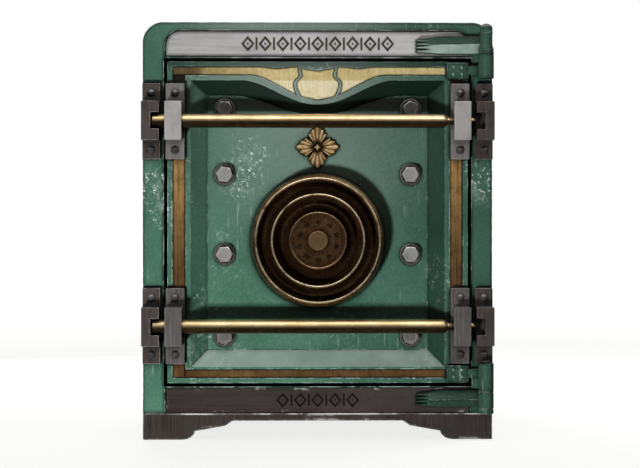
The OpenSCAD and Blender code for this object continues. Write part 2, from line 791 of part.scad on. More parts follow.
module door_panel() {
    color(GREEN) difference() {
        plate(recess_d, recess_d + panel_t) polygon(well_points(-panel_gap));
        bar_d(0, dial_z, bush_r + run_clear, recess_d - 1, recess_d + panel_t + 1);
        for (s = [-1, 1], z = panel_bolt_zs)
            bar_d(s * panel_bolt_x, z, hex_shank / 2 + 0.1, recess_d - 1, recess_d + panel_t + 1);
    }
}

washer_t = 2.5;
hex_h = 9;
module panel_bolts() {
    head_d = recess_d - washer_t;
    color(BARE) for (i = [0:7]) {
        x = (i < 4 ? -1 : 1) * panel_bolt_x;
        z = panel_bolt_zs[i % 4];
        translate([x, front_y + head_d, z]) rotate([90, panel_bolt_turns[i], 0])
            cylinder(r = hex_af / sqrt(3), h = hex_h, $fn = 6);
        bar_d(x, z, hex_shank / 2, head_d - 0.01, slab_t);
    }
}

module panel_washers() {
    color(BARE) for (s = [-1, 1], z = panel_bolt_zs) difference() {
        bar_d(s * panel_bolt_x, z, washer_dia / 2, recess_d - washer_t, recess_d);
        bar_d(s * panel_bolt_x, z, hex_shank / 2 + 0.4, recess_d - washer_t - 1, recess_d + 1);
    }
}

// A four-petal ornament above the dial
rosette_r = 33;
rosette_z = min(dial_z + bezel_dia / 2 + rosette_r + 5, rod_upper_z - rod_r - rosette_r + 8);
module rosette() {
    petals = [for (i = [0:71]) let (a = i * 5, lobe = pow(abs(cos(2 * a)), 0.7))
        [(15 + (rosette_r - 15) * lobe) * cos(a), (15 + (rosette_r - 15) * lobe) * sin(a)]];
    color(BRASS) {
        plate(recess_d - 4, recess_d) translate([0, rosette_z]) polygon(petals);
        dome_screw(0, rosette_z, recess_d - 4, 8, 4, 3, 1);
    }
}

guide_mid = guide_out - guide_w / 2;
module guide_screw_holes(s, depth) {
    for (z = [rod_lower_z, rod_upper_z], v = [-1, 1])
        bar_d(s * guide_mid, z + v * (bracket_len / 2 - screw_inset), shank_hole_r, -1, depth);
}

// A bracket on the door that a rod slides through
module guide(s, z) {
    a = s * guide_out;
    b = s * (guide_out - guide_w);
    c = s * (guide_out - guide_block_w);
    r = (s < 0 ? rod_r : tail_r) + rod_clear;
    color(STEEL) difference() {
        union() {
            block(min(a, b), max(a, b), -bracket_foot, 0, z - bracket_len / 2, z + bracket_len / 2);
            block(min(a, c), max(a, c), -bracket_h, -bracket_foot + 0.5,
                z - block_len / 2, z + block_len / 2);
        }
        bar_x(min(a, b) - 1, max(a, b) + 1, rod_d, z, r);
        for (v = [-1, 1])
            bar_d(s * guide_mid, z + v * (bracket_len / 2 - screw_inset), shank_hole_r, -bracket_foot - 1, 1);
    }
}

module guide_screws() {
    color(BARE) for (s = [-1, 1], z = [rod_lower_z, rod_upper_z], v = [-1, 1])
        dome_screw(s * guide_mid, z + v * (bracket_len / 2 - screw_inset), -bracket_foot,
            screw_r, screw_h, shank_r, bracket_foot + 16);
}

bezel_r = bezel_dia / 2;
bezel_floor = bezel_lip - 22;
module dial_bezel() {
    inner = bush_r + 5;
    color(BRONZE) turned(concat([[inner, 0], [bezel_r, 0], [bezel_r, 3], [bezel_r - 2, bezel_lip - 8]],
        arc(bezel_r - 6.5, bezel_lip - 5, 5, -20, 200, 8),
        [[bezel_r - 15, bezel_floor + 3], [bezel_r - 20, bezel_floor], [inner, bezel_floor]]));
}

module spindle_bush() {
    flange = 2;
    color(BRASS) difference() {
        union() {
            bar_d(0, dial_z, bush_r, recess_d - flange, slab_t + 1);
            bar_d(0, dial_z, bush_r + 4, recess_d - flange, recess_d);
        }
        bar_d(0, dial_z, sleeve_r + run_clear, recess_d - flange - 1, slab_t + 2);
    }
}

wheel_r = wheel_dia / 2;
wheel_floor = wheel_lip - 20;
module handwheel() {
    under = bezel_floor + 1;
    bore = spindle_r + run_clear;
    back = recess_d - pinion_d1;
    color(BRONZE) turned(concat([[bore, back], [sleeve_r, back], [sleeve_r, under], [wheel_r - 2, under],
            [wheel_r, under + 2], [wheel_r - 3, wheel_floor + 2]],
        arc(wheel_r - 7.8, wheel_lip - 4, 4, -15, 195, 8),
        [[wheel_r - 19, wheel_floor + 2], [wheel_r - 23, wheel_floor], [bore, wheel_floor]]));
}

dial_r = dial_dia / 2;
module dial_knob() {
    base = wheel_floor + 1;
    color(BRONZE) difference() {
        turned([[spindle_r, base], [dial_r + 5, base], [dial_r + 6, base + 2], [dial_r + 3, base + 6],
            [dial_r + 0.5, base + 14], [dial_r, knob_face - 0.5], [dial_r - 1.5, knob_face + 1],
            [dial_r - 3, knob_face + 1], [dial_r - 4, knob_face], [spindle_r, knob_face]]);
        translate([0, front_y + recess_d - knob_face, dial_z]) for (i = [0:dial_marks - 1])
            rotate([0, i * 360 / dial_marks, 0])
                translate([-0.5, -1, dial_r - (i % 5 == 0 ? 13 : 10)]) cube([1, 1.7, i % 5 == 0 ? 8 : 5]);
    }
}

module dial_cap() {
    r = cap_dia / 2;
    color(BRASS)
        turned([[0, knob_face], [r, knob_face], [r, cap_reach - 2], [r - 1.5, cap_reach], [0, cap_reach]]);
}

module spindle() {
    color(BARE) bar_d(0, dial_z, spindle_r, recess_d - knob_face + 0.2, lock_d1 - 9);
}

// ---- Inside the door ----

cover_shank_r = 2;
module door_case() {
    color(STEEL) difference() {
        plate(case_d0, case_d1) rect(-case_w / 2, case_w / 2, case_z0, case_z1);
        plate(case_d0 - 1, case_d1 + 1)
            rect(-case_w / 2 + case_t, case_w / 2 - case_t, case_z0 + case_t, case_z1 - case_t);
        for (z = live_zs) bar_x(-case_w / 2 - 1, -case_w / 2 + case_t + 1, live_d, z, live_r + 0.3);
    }
    color(STEEL) for (p = cover_places()) difference() {
        bar_d(p[0], p[1], post_r, case_d1 - 14, case_d1);
        bar_d(p[0], p[1], cover_shank_r + 0.1, case_d1 - 12, case_d1 + 1);
    }
}

post_r = 5;
post_inset = case_t + post_r - 0.5;
function cover_places() = [for (s = [-1, 1], z = [case_z0 + 12, door_mid, case_z1 - 12])
    [s * (case_w / 2 - post_inset), z]];

module door_back_cover() {
    color(STEEL) difference() {
        plate(case_d1, case_d1 + cover_t) rect(-case_w / 2, case_w / 2, case_z0, case_z1);
        for (p = cover_places())
            bar_d(p[0], p[1], cover_shank_r + 0.3, case_d1 - 1, case_d1 + cover_t + 1);
    }
}

module cover_screws() {
    back = case_d1 + cover_t;
    color(BARE) for (p = cover_places())
        translate([0, 2 * (front_y + back), 0]) mirror([0, 1, 0])
            dome_screw(p[0], p[1], back, 4.5, 2.2, cover_shank_r, cover_t + 8);
}

rack_h = 16;
pitch_z = dial_z - gear_r;
rack_tip = 0.8 * gear_module;
rack_z1 = pitch_z - 1.15 * gear_module;
rack_pitch = PI * gear_module;
rack_phase = gear_teeth % 2 == 0 ? rack_pitch / 2 : 0;
rack_first = ceil((-gear_r - 12) / rack_pitch);
rack_last = floor((gear_r + 6 + bolt_travel) / rack_pitch);
rack_x1 = rack_phase + (rack_last + 0.5) * rack_pitch;
lug_gap = 2;
lock_w = 70;
lock_x0 = -lock_w / 2;
lock_z0 = dial_z - 42;
lock_z1 = dial_z + 40;
lug_x1 = lock_x0 - lug_gap;

// Posts behind the slab that guide the live bolts and the free end of the rack
module bolt_guides() {
    x0 = live_tip + 24;
    color(STEEL) {
        for (z = live_zs) difference() {
            block(x0, x0 + 12, case_d0, live_d + live_r + 5, z - live_r - 8, z + live_r + 8);
            bar_x(x0 - 1, x0 + 13, live_d, z, live_r + 0.3);
        }
        difference() {
            block(rack_x1 - 30, rack_x1 - 18, case_d0, pinion_d1 + 3, rack_z1 - rack_h - 6, rack_z1 + 10);
            block(rack_x1 - 31, rack_x1 - 17, pinion_d0 - 0.3, pinion_d1 + 0.3, rack_z1 - rack_h - 0.3,
                rack_z1 + 5);
        }
    }
}

// Involute pinion on the handwheel's sleeve
PRESSURE = 20;
BACKLASH_DEG = 1.2;
base_r = gear_r * cos(PRESSURE);
gear_tip_r = gear_r + gear_module;
gear_root_r = gear_r - 1.2 * gear_module;
function inv_angle(r) = let (a = acos(base_r / r)) tan(a) * 180 / PI - a;
half_tooth = 90 / gear_teeth - BACKLASH_DEG / 2 + inv_angle(gear_r);
FLANK_N = 5;
function flank(side) = [for (i = [0:FLANK_N])
    let (r = max(base_r, gear_root_r) + (gear_tip_r - max(base_r, gear_root_r)) * i / FLANK_N,
        a = side * (half_tooth - inv_angle(r)))
    [r, a]];
function tooth(k) =
    let (up = flank(-1), down = flank(1), mid = 90 + k * 360 / gear_teeth,
        root = 180 / gear_teeth - 0.3)
    concat([[gear_root_r, mid - half_tooth]], [for (p = up) [p[0], mid + p[1]]],
        [for (i = [FLANK_N:-1:0]) [down[i][0], mid + down[i][1]]], [[gear_root_r, mid + half_tooth]]);

module pinion() {
    points = [for (k = [0:gear_teeth - 1]) each [for (p = tooth(k)) [p[0] * cos(p[1]), p[0] * sin(p[1])]]];
    color(BARE) difference() {
        plate(pinion_d0, pinion_d1) translate([0, dial_z]) polygon(points);
        bar_d(0, dial_z, sleeve_r, pinion_d0 - 1, pinion_d1 + 1);
    }
}

// Rack teeth reach up to the pinion. One pinion tooth faces straight up, so an even count puts
// another straight down, and the rack is shifted by half a pitch to put a gap under it.
module rack_outline() {
    half = rack_pitch / 4 - 0.12;
    rise = tan(PRESSURE);
    rect(carrier_x1 - 2, rack_x1, rack_z1 - rack_h, rack_z1);
    for (i = [rack_first:rack_last]) translate([rack_phase + i * rack_pitch, pitch_z])
        polygon([[-half - 1.2 * gear_module * rise, -1.2 * gear_module], [-half + rack_tip * rise, rack_tip],
            [half - rack_tip * rise, rack_tip], [half + 1.2 * gear_module * rise, -1.2 * gear_module]]);
}

// The upright bar that holds the live bolts, with its rack and the lug that the lock blocks
module bolt_carrier() {
    x0 = carrier_x1 - carrier_w;
    color(BARE) difference() {
        union() {
            block(x0, carrier_x1, pinion_d0 + 0.5, live_d + 9,
                live_zs[0] - live_r - 6, live_zs[2] + live_r + 6);
            plate(pinion_d0 + 0.5, pinion_d1 - 0.5) rack_outline();
            block(lug_x1 - 10, lug_x1, pinion_d0 + 0.5, lock_d0 + 14, rack_z1 - rack_h, rack_z1 - 2);
        }
        for (z = live_zs) bar_x(x0 - 1, x0 + 6, live_d, z, live_r - 4);
    }
}

module live_bolts() {
    x0 = carrier_x1 - carrier_w;
    color(BARE) for (z = live_zs) {
        tapered_tip(live_tip, live_d, z, live_r);
        bar_x(live_tip + 1.99, x0, live_d, z, live_r);
        bar_x(x0 - 0.01, x0 + 5.5, live_d, z, live_r - 4.1);
    }
}

lock_wall = 2.5;
wheel_pack_r = 21;
lock_bolt_z1 = dial_z - wheel_pack_r - 3;
lock_bolt_z0 = lock_z0 + 4;
lock_bolt_h = lock_bolt_z1 - lock_bolt_z0 - 3;
module lock_case() {
    color(BARE) difference() {
        block(lock_x0, lock_x0 + lock_w, lock_d0, lock_d1, lock_z0, lock_z1);
        block(lock_x0 + lock_wall, lock_x0 + lock_w - lock_wall, lock_d0 + lock_wall, lock_d1 - lock_wall,
            lock_z0 + lock_wall, lock_z1 - lock_wall);
        bar_d(0, dial_z, spindle_r + 0.3, lock_d0 - 1, lock_d0 + lock_wall + 1);
        block(lock_x0 - 1, lock_x0 + lock_wall + 1, lock_d0 + 3.7, lock_d1 - 3.7, lock_bolt_z0 - 0.3,
            lock_bolt_z0 + lock_bolt_h + 0.3);
    }
}

// Three wheels and the drive cam, turned by the spindle, each with a gate in its rim
module wheel_pack() {
    color(BRASS) for (i = [0:3]) {
        d = lock_d0 + lock_wall + 1.2 + i * 3.4;
        difference() {
            bar_d(0, dial_z, wheel_pack_r, d, d + 2.2);
            bar_d(0, dial_z, spindle_r, d - 1, d + 3.2);
            block(-2, 2, d - 1, d + 3.2, dial_z - wheel_pack_r - 1, dial_z - wheel_pack_r + 5);
        }
    }
}

module lock_bolt() {
    tail_x0 = lock_x0 + lock_wall + bolt_travel + 1;
    color(BRASS) {
        block(lock_x0 - 1, tail_x0 + 10, lock_d0 + 4, lock_d1 - 4, lock_bolt_z0, lock_bolt_z0 + lock_bolt_h);
        block(tail_x0, tail_x0 + 10, lock_d0 + 4, lock_d1 - 4, lock_bolt_z0 + lock_bolt_h - 0.5,
            lock_bolt_z1 + 1);
    }
}

// ---- Lock rods ----

module rod(z) {
    color(BRASS) {
        tapered_tip(rod_left, rod_d, z, rod_r);
        bar_x(rod_left + 1.99, rod_shoulder - rod_r, rod_d, z, rod_r);
        translate([rod_shoulder - rod_r, front_y + rod_d, z]) sphere(rod_r);
        bar_x(rod_shoulder - rod_r, tail_tip - tail_r, rod_d, z, tail_r);
        translate([tail_tip - tail_r, front_y + rod_d, z]) sphere(tail_r);
    }
}

// ---- Everything, one node at a time ----

plinth();
base_plate();
outer_casing();
back_panel();
back_rivets();
front_frame();
header_plate();
sill_plate();
jamb_frame();
door_seal();
fire_filling();
lining_hood();
lining_floor();
lining_back();
shelf();
shelf_supports();
keeper(-1, rod_upper_z);  // keeper_left_upper
keeper(-1, rod_lower_z);  // keeper_left_lower
keeper(1, rod_upper_z);  // keeper_right_upper
keeper(1, rod_lower_z);  // keeper_right_lower
keeper_screws();
hinge_arm(upper_arm_z0, upper_arm_z1, upper_split, upper_knuckle_z1, true);  // hinge_arm_upper
hinge_arm(lower_arm_z0, lower_arm_z1, lower_knuckle_z0, lower_split, false);  // hinge_arm_lower
hinge_pin(upper_leaf_k0, upper_knuckle_z1, true);  // hinge_pin_upper
hinge_pin(lower_knuckle_z0, lower_leaf_k1 + split_gap, false);  // hinge_pin_lower
door_slab();
door_panel();
panel_bolts();
panel_washers();
side_inlays();
color(BRASS) plate(0, inlay_t) bottom_outline(0);  // inlay_bottom
color(BRASS) plate(0, inlay_t) for (s = [-1, 1]) wing_outline(s, 0);  // crest_wings
color(BRASS) plate(0, inlay_t) polygon(key_points(0));  // crest_keystone
rosette();
guide(-1, rod_upper_z);  // guide_left_upper
guide(-1, rod_lower_z);  // guide_left_lower
guide(1, rod_upper_z);  // guide_right_upper
guide(1, rod_lower_z);  // guide_right_lower
guide_screws();
hinge_leaf(upper_plate_z, upper_leaf_k0, upper_leaf_k1);  // hinge_leaf_upper
hinge_leaf(lower_plate_z, lower_leaf_k0, lower_leaf_k1);  // hinge_leaf_lower
leaf_rivets();
dial_bezel();
spindle_bush();
door_case();
door_back_cover();
cover_screws();
bolt_guides();
lock_case();
rod(rod_upper_z);  // rod_upper
rod(rod_lower_z);  // rod_lower
handwheel();
pinion();
dial_knob();
dial_cap();
spindle();
wheel_pack();
live_bolts();
bolt_carrier();
lock_bolt();
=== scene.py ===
"""Looks for a worn green floor safe with brass lock rods, a bronze dial and steel rod brackets."""

import json
import math

import bmesh
import bpy
from mathutils import Matrix, Vector


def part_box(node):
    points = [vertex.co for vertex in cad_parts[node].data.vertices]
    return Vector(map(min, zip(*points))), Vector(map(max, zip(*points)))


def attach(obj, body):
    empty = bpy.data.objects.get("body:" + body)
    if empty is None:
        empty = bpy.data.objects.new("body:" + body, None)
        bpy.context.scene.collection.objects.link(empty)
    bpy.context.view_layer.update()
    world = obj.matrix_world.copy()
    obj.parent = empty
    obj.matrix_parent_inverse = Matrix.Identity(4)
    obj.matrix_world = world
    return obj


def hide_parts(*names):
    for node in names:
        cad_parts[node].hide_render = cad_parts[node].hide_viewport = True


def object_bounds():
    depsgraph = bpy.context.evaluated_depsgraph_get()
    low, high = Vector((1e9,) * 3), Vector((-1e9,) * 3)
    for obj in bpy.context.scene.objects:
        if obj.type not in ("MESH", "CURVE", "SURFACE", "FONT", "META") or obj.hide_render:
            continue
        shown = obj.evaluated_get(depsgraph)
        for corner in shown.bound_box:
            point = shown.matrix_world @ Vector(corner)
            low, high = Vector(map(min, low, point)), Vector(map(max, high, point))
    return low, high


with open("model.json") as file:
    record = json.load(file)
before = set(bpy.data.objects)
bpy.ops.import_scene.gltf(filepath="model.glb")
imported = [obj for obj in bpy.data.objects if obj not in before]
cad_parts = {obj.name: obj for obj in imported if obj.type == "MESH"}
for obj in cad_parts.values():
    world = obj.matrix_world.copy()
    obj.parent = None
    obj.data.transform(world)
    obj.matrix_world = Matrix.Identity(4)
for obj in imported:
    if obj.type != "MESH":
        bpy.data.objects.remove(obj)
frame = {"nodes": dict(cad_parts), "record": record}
cad_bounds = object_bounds()
NODES = frame["nodes"]

MM = 0.001
TINY = 0.01 * MM                              # the radius that closes a turned shape at its axis
FRONT_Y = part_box("front_frame")[0].y          # the front frame's face
PANEL_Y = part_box("door_panel")[0].y           # the bolted panel's face
TAU = 2 * math.pi


def centre(node):
    low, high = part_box(node)
    return (low + high) / 2


def add_object(name, data):
    made = bpy.data.objects.new(name, data)
    bpy.context.scene.collection.objects.link(made)
    return made


def darker(colour, share):
    return tuple(c * share for c in colour)


DIAL = centre("dial_cap")                     # the dial's axis runs along Y through here


# ---- Node helpers ---------------------------------------------------------------------------

class Nodes:
    """A node tree under construction."""

    def __init__(self, tree):
        self.tree = tree

    def node(self, kind, **settings):
        made = self.tree.nodes.new(kind)
        for key, value in settings.items():
            setattr(made, key, value)
        return made

    def put(self, socket, value):
        if isinstance(value, bpy.types.NodeSocket):
            self.tree.links.new(value, socket)
        elif isinstance(value, (tuple, list)) and len(value) == 3 and socket.type == "RGBA":
            socket.default_value = (*value, 1)
        else:
            socket.default_value = value


class Shader(Nodes):
    """A material under construction: most calls add a node and return the socket it makes."""

    def __init__(self, name, metallic=0.0, roughness=0.5, specular=0.5):
        self.material = bpy.data.materials.new(name)
        self.material.use_nodes = True
        super().__init__(self.material.node_tree)
        self.bsdf = self.tree.nodes["Principled BSDF"]
        self.bsdf.inputs["Metallic"].default_value = metallic
        self.bsdf.inputs["Roughness"].default_value = roughness
        self.bsdf.inputs["Specular IOR Level"].default_value = specular
        self.place = self.node("ShaderNodeTexCoord").outputs["Object"]

    def stretched(self, x, y, z):
        mapping = self.node("ShaderNodeMapping")
        self.put(mapping.inputs["Vector"], self.place)
        mapping.inputs["Scale"].default_value = (x, y, z)
        return mapping.outputs["Vector"]

    def noise(self, scale, detail, rough=0.55, vector=None, distortion=0.0):
        tex = self.node("ShaderNodeTexNoise")
        self.put(tex.inputs["Vector"], vector or self.place)
        tex.inputs["Scale"].default_value = scale
        tex.inputs["Detail"].default_value = detail
        tex.inputs["Roughness"].default_value = rough
        tex.inputs["Distortion"].default_value = distortion
        return tex.outputs["Fac"]

    def ramp(self, value, low, high, to_low=0.0, to_high=1.0):
        made = self.node("ShaderNodeMapRange", clamp=True, interpolation_type="SMOOTHSTEP")
        for socket, v in zip(made.inputs, (value, low, high, to_low, to_high)):
            self.put(socket, v)
        return made.outputs["Result"]

    def math(self, operation, a, b=0.0):
        made = self.node("ShaderNodeMath", operation=operation)
        self.put(made.inputs[0], a)
        self.put(made.inputs[1], b)
        return made.outputs[0]

    def times(self, *values):
        out = values[0]
        for value in values[1:]:
            out = self.math("MULTIPLY", out, value)
        return out

    def most(self, a, b):
        return self.math("MAXIMUM", a, b)

    def mix(self, factor, a, b):
        made = self.node("ShaderNodeMix", data_type="RGBA")
        self.put(made.inputs[0], factor)
        self.put(made.inputs[6], a)
        self.put(made.inputs[7], b)
        return made.outputs[2]

    def facing(self, letter):
        """How far the surface faces along an axis of the part, -1 to 1."""
        made = self.node("ShaderNodeSeparateXYZ")
        self.put(made.inputs[0], self.node("ShaderNodeTexCoord").outputs["Normal"])
        return made.outputs[letter.upper()]

    def axis(self, letter):
        made = self.node("ShaderNodeSeparateXYZ")
        self.put(made.inputs[0], self.place)
        return made.outputs[letter.upper()]

    def near(self, share, outer, inner):
        """1 within inner of a place on the front, given as shares of width and height; 0 beyond outer."""
        gap = self.node("ShaderNodeVectorMath", operation="DISTANCE")
        flat = self.node("ShaderNodeVectorMath", operation="MULTIPLY")
        self.put(flat.inputs[0], self.place)
        flat.inputs[1].default_value = (1, 0, 1)
        self.put(gap.inputs[0], flat.outputs[0])
        span = HIGH - LOW
        gap.inputs[1].default_value = (LOW.x + span.x * share[0], 0, LOW.z + span.z * share[1])
        return self.ramp(gap.outputs["Value"], inner, outer, 1.0, 0.0)

    def edges(self, radius, low=0.018, high=0.18):
        """1 on outside corners and edges, 0 on flat faces; low and high set how wide the band is."""
        bevel = self.node("ShaderNodeBevel", samples=4)
        bevel.inputs["Radius"].default_value = radius
        true = self.node("ShaderNodeNewGeometry").outputs["Normal"]
        dot = self.node("ShaderNodeVectorMath", operation="DOT_PRODUCT")
        self.put(dot.inputs[0], bevel.outputs["Normal"])
        self.put(dot.inputs[1], true)
        turn = self.math("SUBTRACT", 1.0, dot.outputs["Value"])
        return self.ramp(turn, low, high)

    def corners(self, distance, low=0.45, high=0.95):
        """1 deep in corners, 0 in the open."""
        shade = self.node("ShaderNodeAmbientOcclusion", samples=4)
        shade.inputs["Distance"].default_value = distance
        return self.ramp(shade.outputs["AO"], low, high, 1.0, 0.0)

    def bump(self, height, strength, distance, after=None):
        made = self.node("ShaderNodeBump")
        made.inputs["Strength"].default_value = strength
        made.inputs["Distance"].default_value = distance
        self.put(made.inputs["Height"], height)
        if after:
            self.put(made.inputs["Normal"], after)
        return made.outputs["Normal"]

    def done(self, colour, roughness=None, normal=None):
        for name, value in (("Base Color", colour), ("Roughness", roughness), ("Normal", normal)):
            if value is not None:
                self.put(self.bsdf.inputs[name], value)
        return self.material


# ---- Materials ------------------------------------------------------------------------------

LOW, HIGH = cad_bounds
DOOR_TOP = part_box("door_slab")[1].z
GUIDE_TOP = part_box("guide_left_upper")[1].z
GUIDE_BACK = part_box("guide_left_upper")[0].y + 0.004      # just behind the front of the guides' blocks
# Places rubbed hardest, as shares of the width and height, with the radius of each in metres
RUBBED = ((0.28, 0.63, 0.045), (0.31, 0.69, 0.035), (0.03, 0.61, 0.038), (0.06, 0.54, 0.030),
          (0.99, 0.62, 0.045), (0.93, 0.67, 0.03), (0.50, 0.895, 0.03), (0.16, 0.895, 0.03),
          (0.80, 0.17, 0.03))
WIDE = (0.0075, 0.06)                         # a band about half as wide as the bevel's radius


def worn_paint(name, base, dark, chip, edge_radius=0.0022, dust_and_top_light=0.85, painted_shade=0.96, edge_shade=0.0, sides=0.0,
               sheen_under=0.0, contact_shade=0.0):
    """Old oil paint on steel: cloudy colour, pale scuffs in clusters, rubbed edges, dusty faces that look up
    (partly painted light from above), a painted sheen, and painted shade and shadow.

    Options blacken edges, as painted shade of the gaps beside them; blacken the foot of anything standing
    on the paint, as a painted contact shadow; blacken what does not face forward and a band just under the
    door's top, as painted shade; and, with sheen_under, pale the lower facet of a strap, as a painted sheen.
    """
    s = Shader(name, roughness=0.45, specular=0.22)
    cloud = s.ramp(s.noise(7, 5, 0.6), 0.35, 0.68)
    grain = s.ramp(s.noise(420, 2), 0.3, 0.75)
    colour = s.mix(cloud, base, dark)
    colour = s.mix(s.times(grain, 0.06), colour, chip)
    # Painted sheen: a pale grey patch on the upper middle of the front stands in for a broad lamp's glint.
    painted_sheen = (0.23, 0.255, 0.24)
    colour = s.mix(s.times(s.near((0.5, 0.74), 0.24, 0.02), 0.28), colour, painted_sheen)
    # The colour of painted shade, used for all the blackening below.
    black = (dark[0] * 0.10, dark[1] * 0.11, dark[2] * 0.11)
    ahead = s.ramp(s.axis("y"), FRONT_Y + 0.055, FRONT_Y + 0.075, 1.0, 0.0)
    # Painted shade: edges blackened as if the gaps beside them lay in shadow.
    if edge_shade:
        colour = s.mix(s.times(s.edges(0.0080, *WIDE), edge_shade), colour, black)
    # Painted sheen: the same pale grey on the middle left of the top band, on the front parts only.
    painted_sheen_top = s.near((0.42, 0.985), 0.20, 0.03)
    colour = s.mix(s.times(painted_sheen_top, ahead, 0.42), colour, painted_sheen)
    # Painted shade: darker towards the right, as if the lamp's light fell off there.
    colour = s.mix(s.ramp(s.axis("x"), 0.0, HIGH.x * 0.7, 0.0, 0.22), colour, black)
    spots = None
    for x, z, radius in RUBBED:
        spot = s.near((x, z), radius, radius * 0.25)
        spots = spot if spots is None else s.most(spots, spot)
    scattered = s.times(s.ramp(s.noise(9, 3, 0.5), 0.57, 0.68), 0.45)
    clusters = s.most(s.times(spots, ahead), scattered)
    chips = s.times(clusters, s.ramp(s.noise(170, 6, 0.75), 0.555, 0.62))
    smear = s.times(clusters, s.ramp(s.noise(38, 7, 0.75), 0.50, 0.72), 0.4)
    upright = s.stretched(430, 430, 26)
    scratches = s.times(s.ramp(s.noise(1, 3, 0.5, upright), 0.63, 0.72), s.ramp(s.noise(6, 2), 0.45, 0.62),
                        0.28)
    edge = s.times(s.edges(edge_radius), s.ramp(s.noise(46, 5, 0.7), 0.48, 0.60))
    worn = s.most(s.most(chips, smear), s.most(scratches, s.times(edge, 0.85)))
    colour = s.mix(worn, colour, chip)
    # Faces that look up are paled: dusty, and partly painted light from above.
    if dust_and_top_light:
        settled_and_lit_mask = s.times(s.ramp(s.facing("z"), 0.3, 0.6), s.ramp(s.noise(24, 5, 0.6), 0.2, 0.8, 0.6, 0.95))
        colour = s.mix(s.times(settled_and_lit_mask, dust_and_top_light), colour, (0.34, 0.44, 0.39))
    # Painted shade: faces that look down are blackened.
    under = s.ramp(s.facing("z"), -0.25, -0.6)
    colour = s.mix(s.times(under, painted_shade), colour, black)
    if sheen_under:
        pale = s.times(s.ramp(s.facing("z"), -0.12, -0.35), s.ramp(s.facing("y"), -0.3, -0.6))
        colour = s.mix(s.times(pale, s.ramp(s.noise(30, 4, 0.6), 0.3, 0.7, 0.5, 1.0), sheen_under), colour,
                       (0.50, 0.58, 0.54))
    # Painted shade: faces that look to the left, such as the recess's right slope, are darkened.
    lee = s.ramp(s.facing("x"), -0.35, -0.6)
    colour = s.mix(s.times(lee, painted_shade * 0.72), colour, black)
    # Painted shade on what does not face forward, and a painted shadow on a band just under the door's top.
    if sides:
        colour = s.mix(s.times(s.ramp(s.facing("y"), -0.35, -0.10), sides), colour, black)
        colour = s.mix(s.ramp(s.axis("z"), DOOR_TOP - 0.018, DOOR_TOP - 0.003, 0.0, 0.62), colour, black)
    # Corners darkened by dirt and by painted shade where light would not reach.
    grime_and_shade = s.times(s.corners(0.012), s.ramp(s.noise(30, 4), 0.25, 0.7, 0.6, 1.0))
    colour = s.mix(s.times(grime_and_shade, 0.9), colour, black)
    # Painted contact shadow: blackened at the foot of anything standing on the paint.
    if contact_shade:
        colour = s.mix(s.times(s.corners(0.005, 0.60, 0.985), contact_shade), colour, black)
    rough = s.ramp(s.most(s.noise(60, 4), worn), 0.2, 1.0, 0.36, 0.66)
    normal = s.bump(s.noise(300, 3), 0.10, 0.0004)
    normal = s.bump(s.math("SUBTRACT", 1.0, s.most(chips, edge)), 0.35, 0.0004, normal)
    return s.done(colour, rough, normal)


def worn_steel(name, base, dark, bright, edge=(0.62, 0.60, 0.58), metallic=0.55, rough=(0.34, 0.58),
               edge_radius=0.0016, shine=0.0, shine_from=(0.5, 0.72), shine_to=(2.0, 3.0), block_y=None,
               worn_top=None):
    """Blackened steel: drawn grain, stains, bright rubbed edges, and corners darkened by dirt and painted
    shade.

    shine pales it between two levels, given as shares of the height, as a painted sheen, and fades behind
    block_y; just under worn_top the steel is rubbed bright in patches.
    """
    s = Shader(name, metallic=metallic, roughness=0.45)
    cloud = s.ramp(s.noise(16, 6, 0.65), 0.3, 0.72)
    drawn = s.ramp(s.noise(1, 3, 0.6, s.stretched(460, 460, 14)), 0.28, 0.74)
    colour = s.mix(cloud, dark, base)
    colour = s.mix(s.times(drawn, 0.38), colour, bright)
    speck = s.times(s.ramp(s.noise(260, 4, 0.7), 0.62, 0.70), s.ramp(s.noise(20, 2), 0.4, 0.6), 0.5)
    colour = s.mix(speck, colour, bright)
    # Painted sheen: paler between two heights, as if catching a lamp, and fainter behind the blocks' fronts.
    if shine:
        level = s.times(s.axis("z"), 1 / (HIGH.z - LOW.z))
        paler_zone = s.times(s.ramp(level, *shine_from), s.ramp(level, *shine_to, 1.0, 0.0))
        if block_y is not None:
            paler_zone = s.times(paler_zone, s.ramp(s.axis("y"), block_y, block_y + 0.002, 1.0, 0.38))
        patches = s.ramp(s.noise(22, 4, 0.6), 0.2, 0.6, 0.35, 1.0)
        colour = s.mix(s.times(paler_zone, shine, patches), colour, edge)
    rubbed = s.times(s.edges(edge_radius), s.ramp(s.noise(75, 5, 0.7), 0.30, 0.58), 0.85)
    if worn_top is not None:
        top = s.times(s.ramp(s.axis("z"), worn_top - 0.0028, worn_top - 0.0016),
                      s.ramp(s.noise(14, 5, 0.7), 0.44, 0.60))
        chamfer = s.times(s.edges(0.007, *WIDE), s.ramp(s.noise(17, 6, 0.75), 0.56, 0.62))
        rubbed = s.most(rubbed, s.times(s.most(top, chamfer), 0.75))
    colour = s.mix(rubbed, colour, edge)
    # Corners darkened by dirt and by painted shade.
    grime_and_shade = s.corners(0.012)
    colour = s.mix(s.times(grime_and_shade, 0.8), colour, (0.012, 0.010, 0.010))
    roughness = s.ramp(s.noise(34, 5, 0.6), 0.25, 0.75, rough[0], rough[1])
    normal = s.bump(s.noise(210, 4, 0.7), 0.16, 0.0005)
    return s.done(colour, roughness, normal)


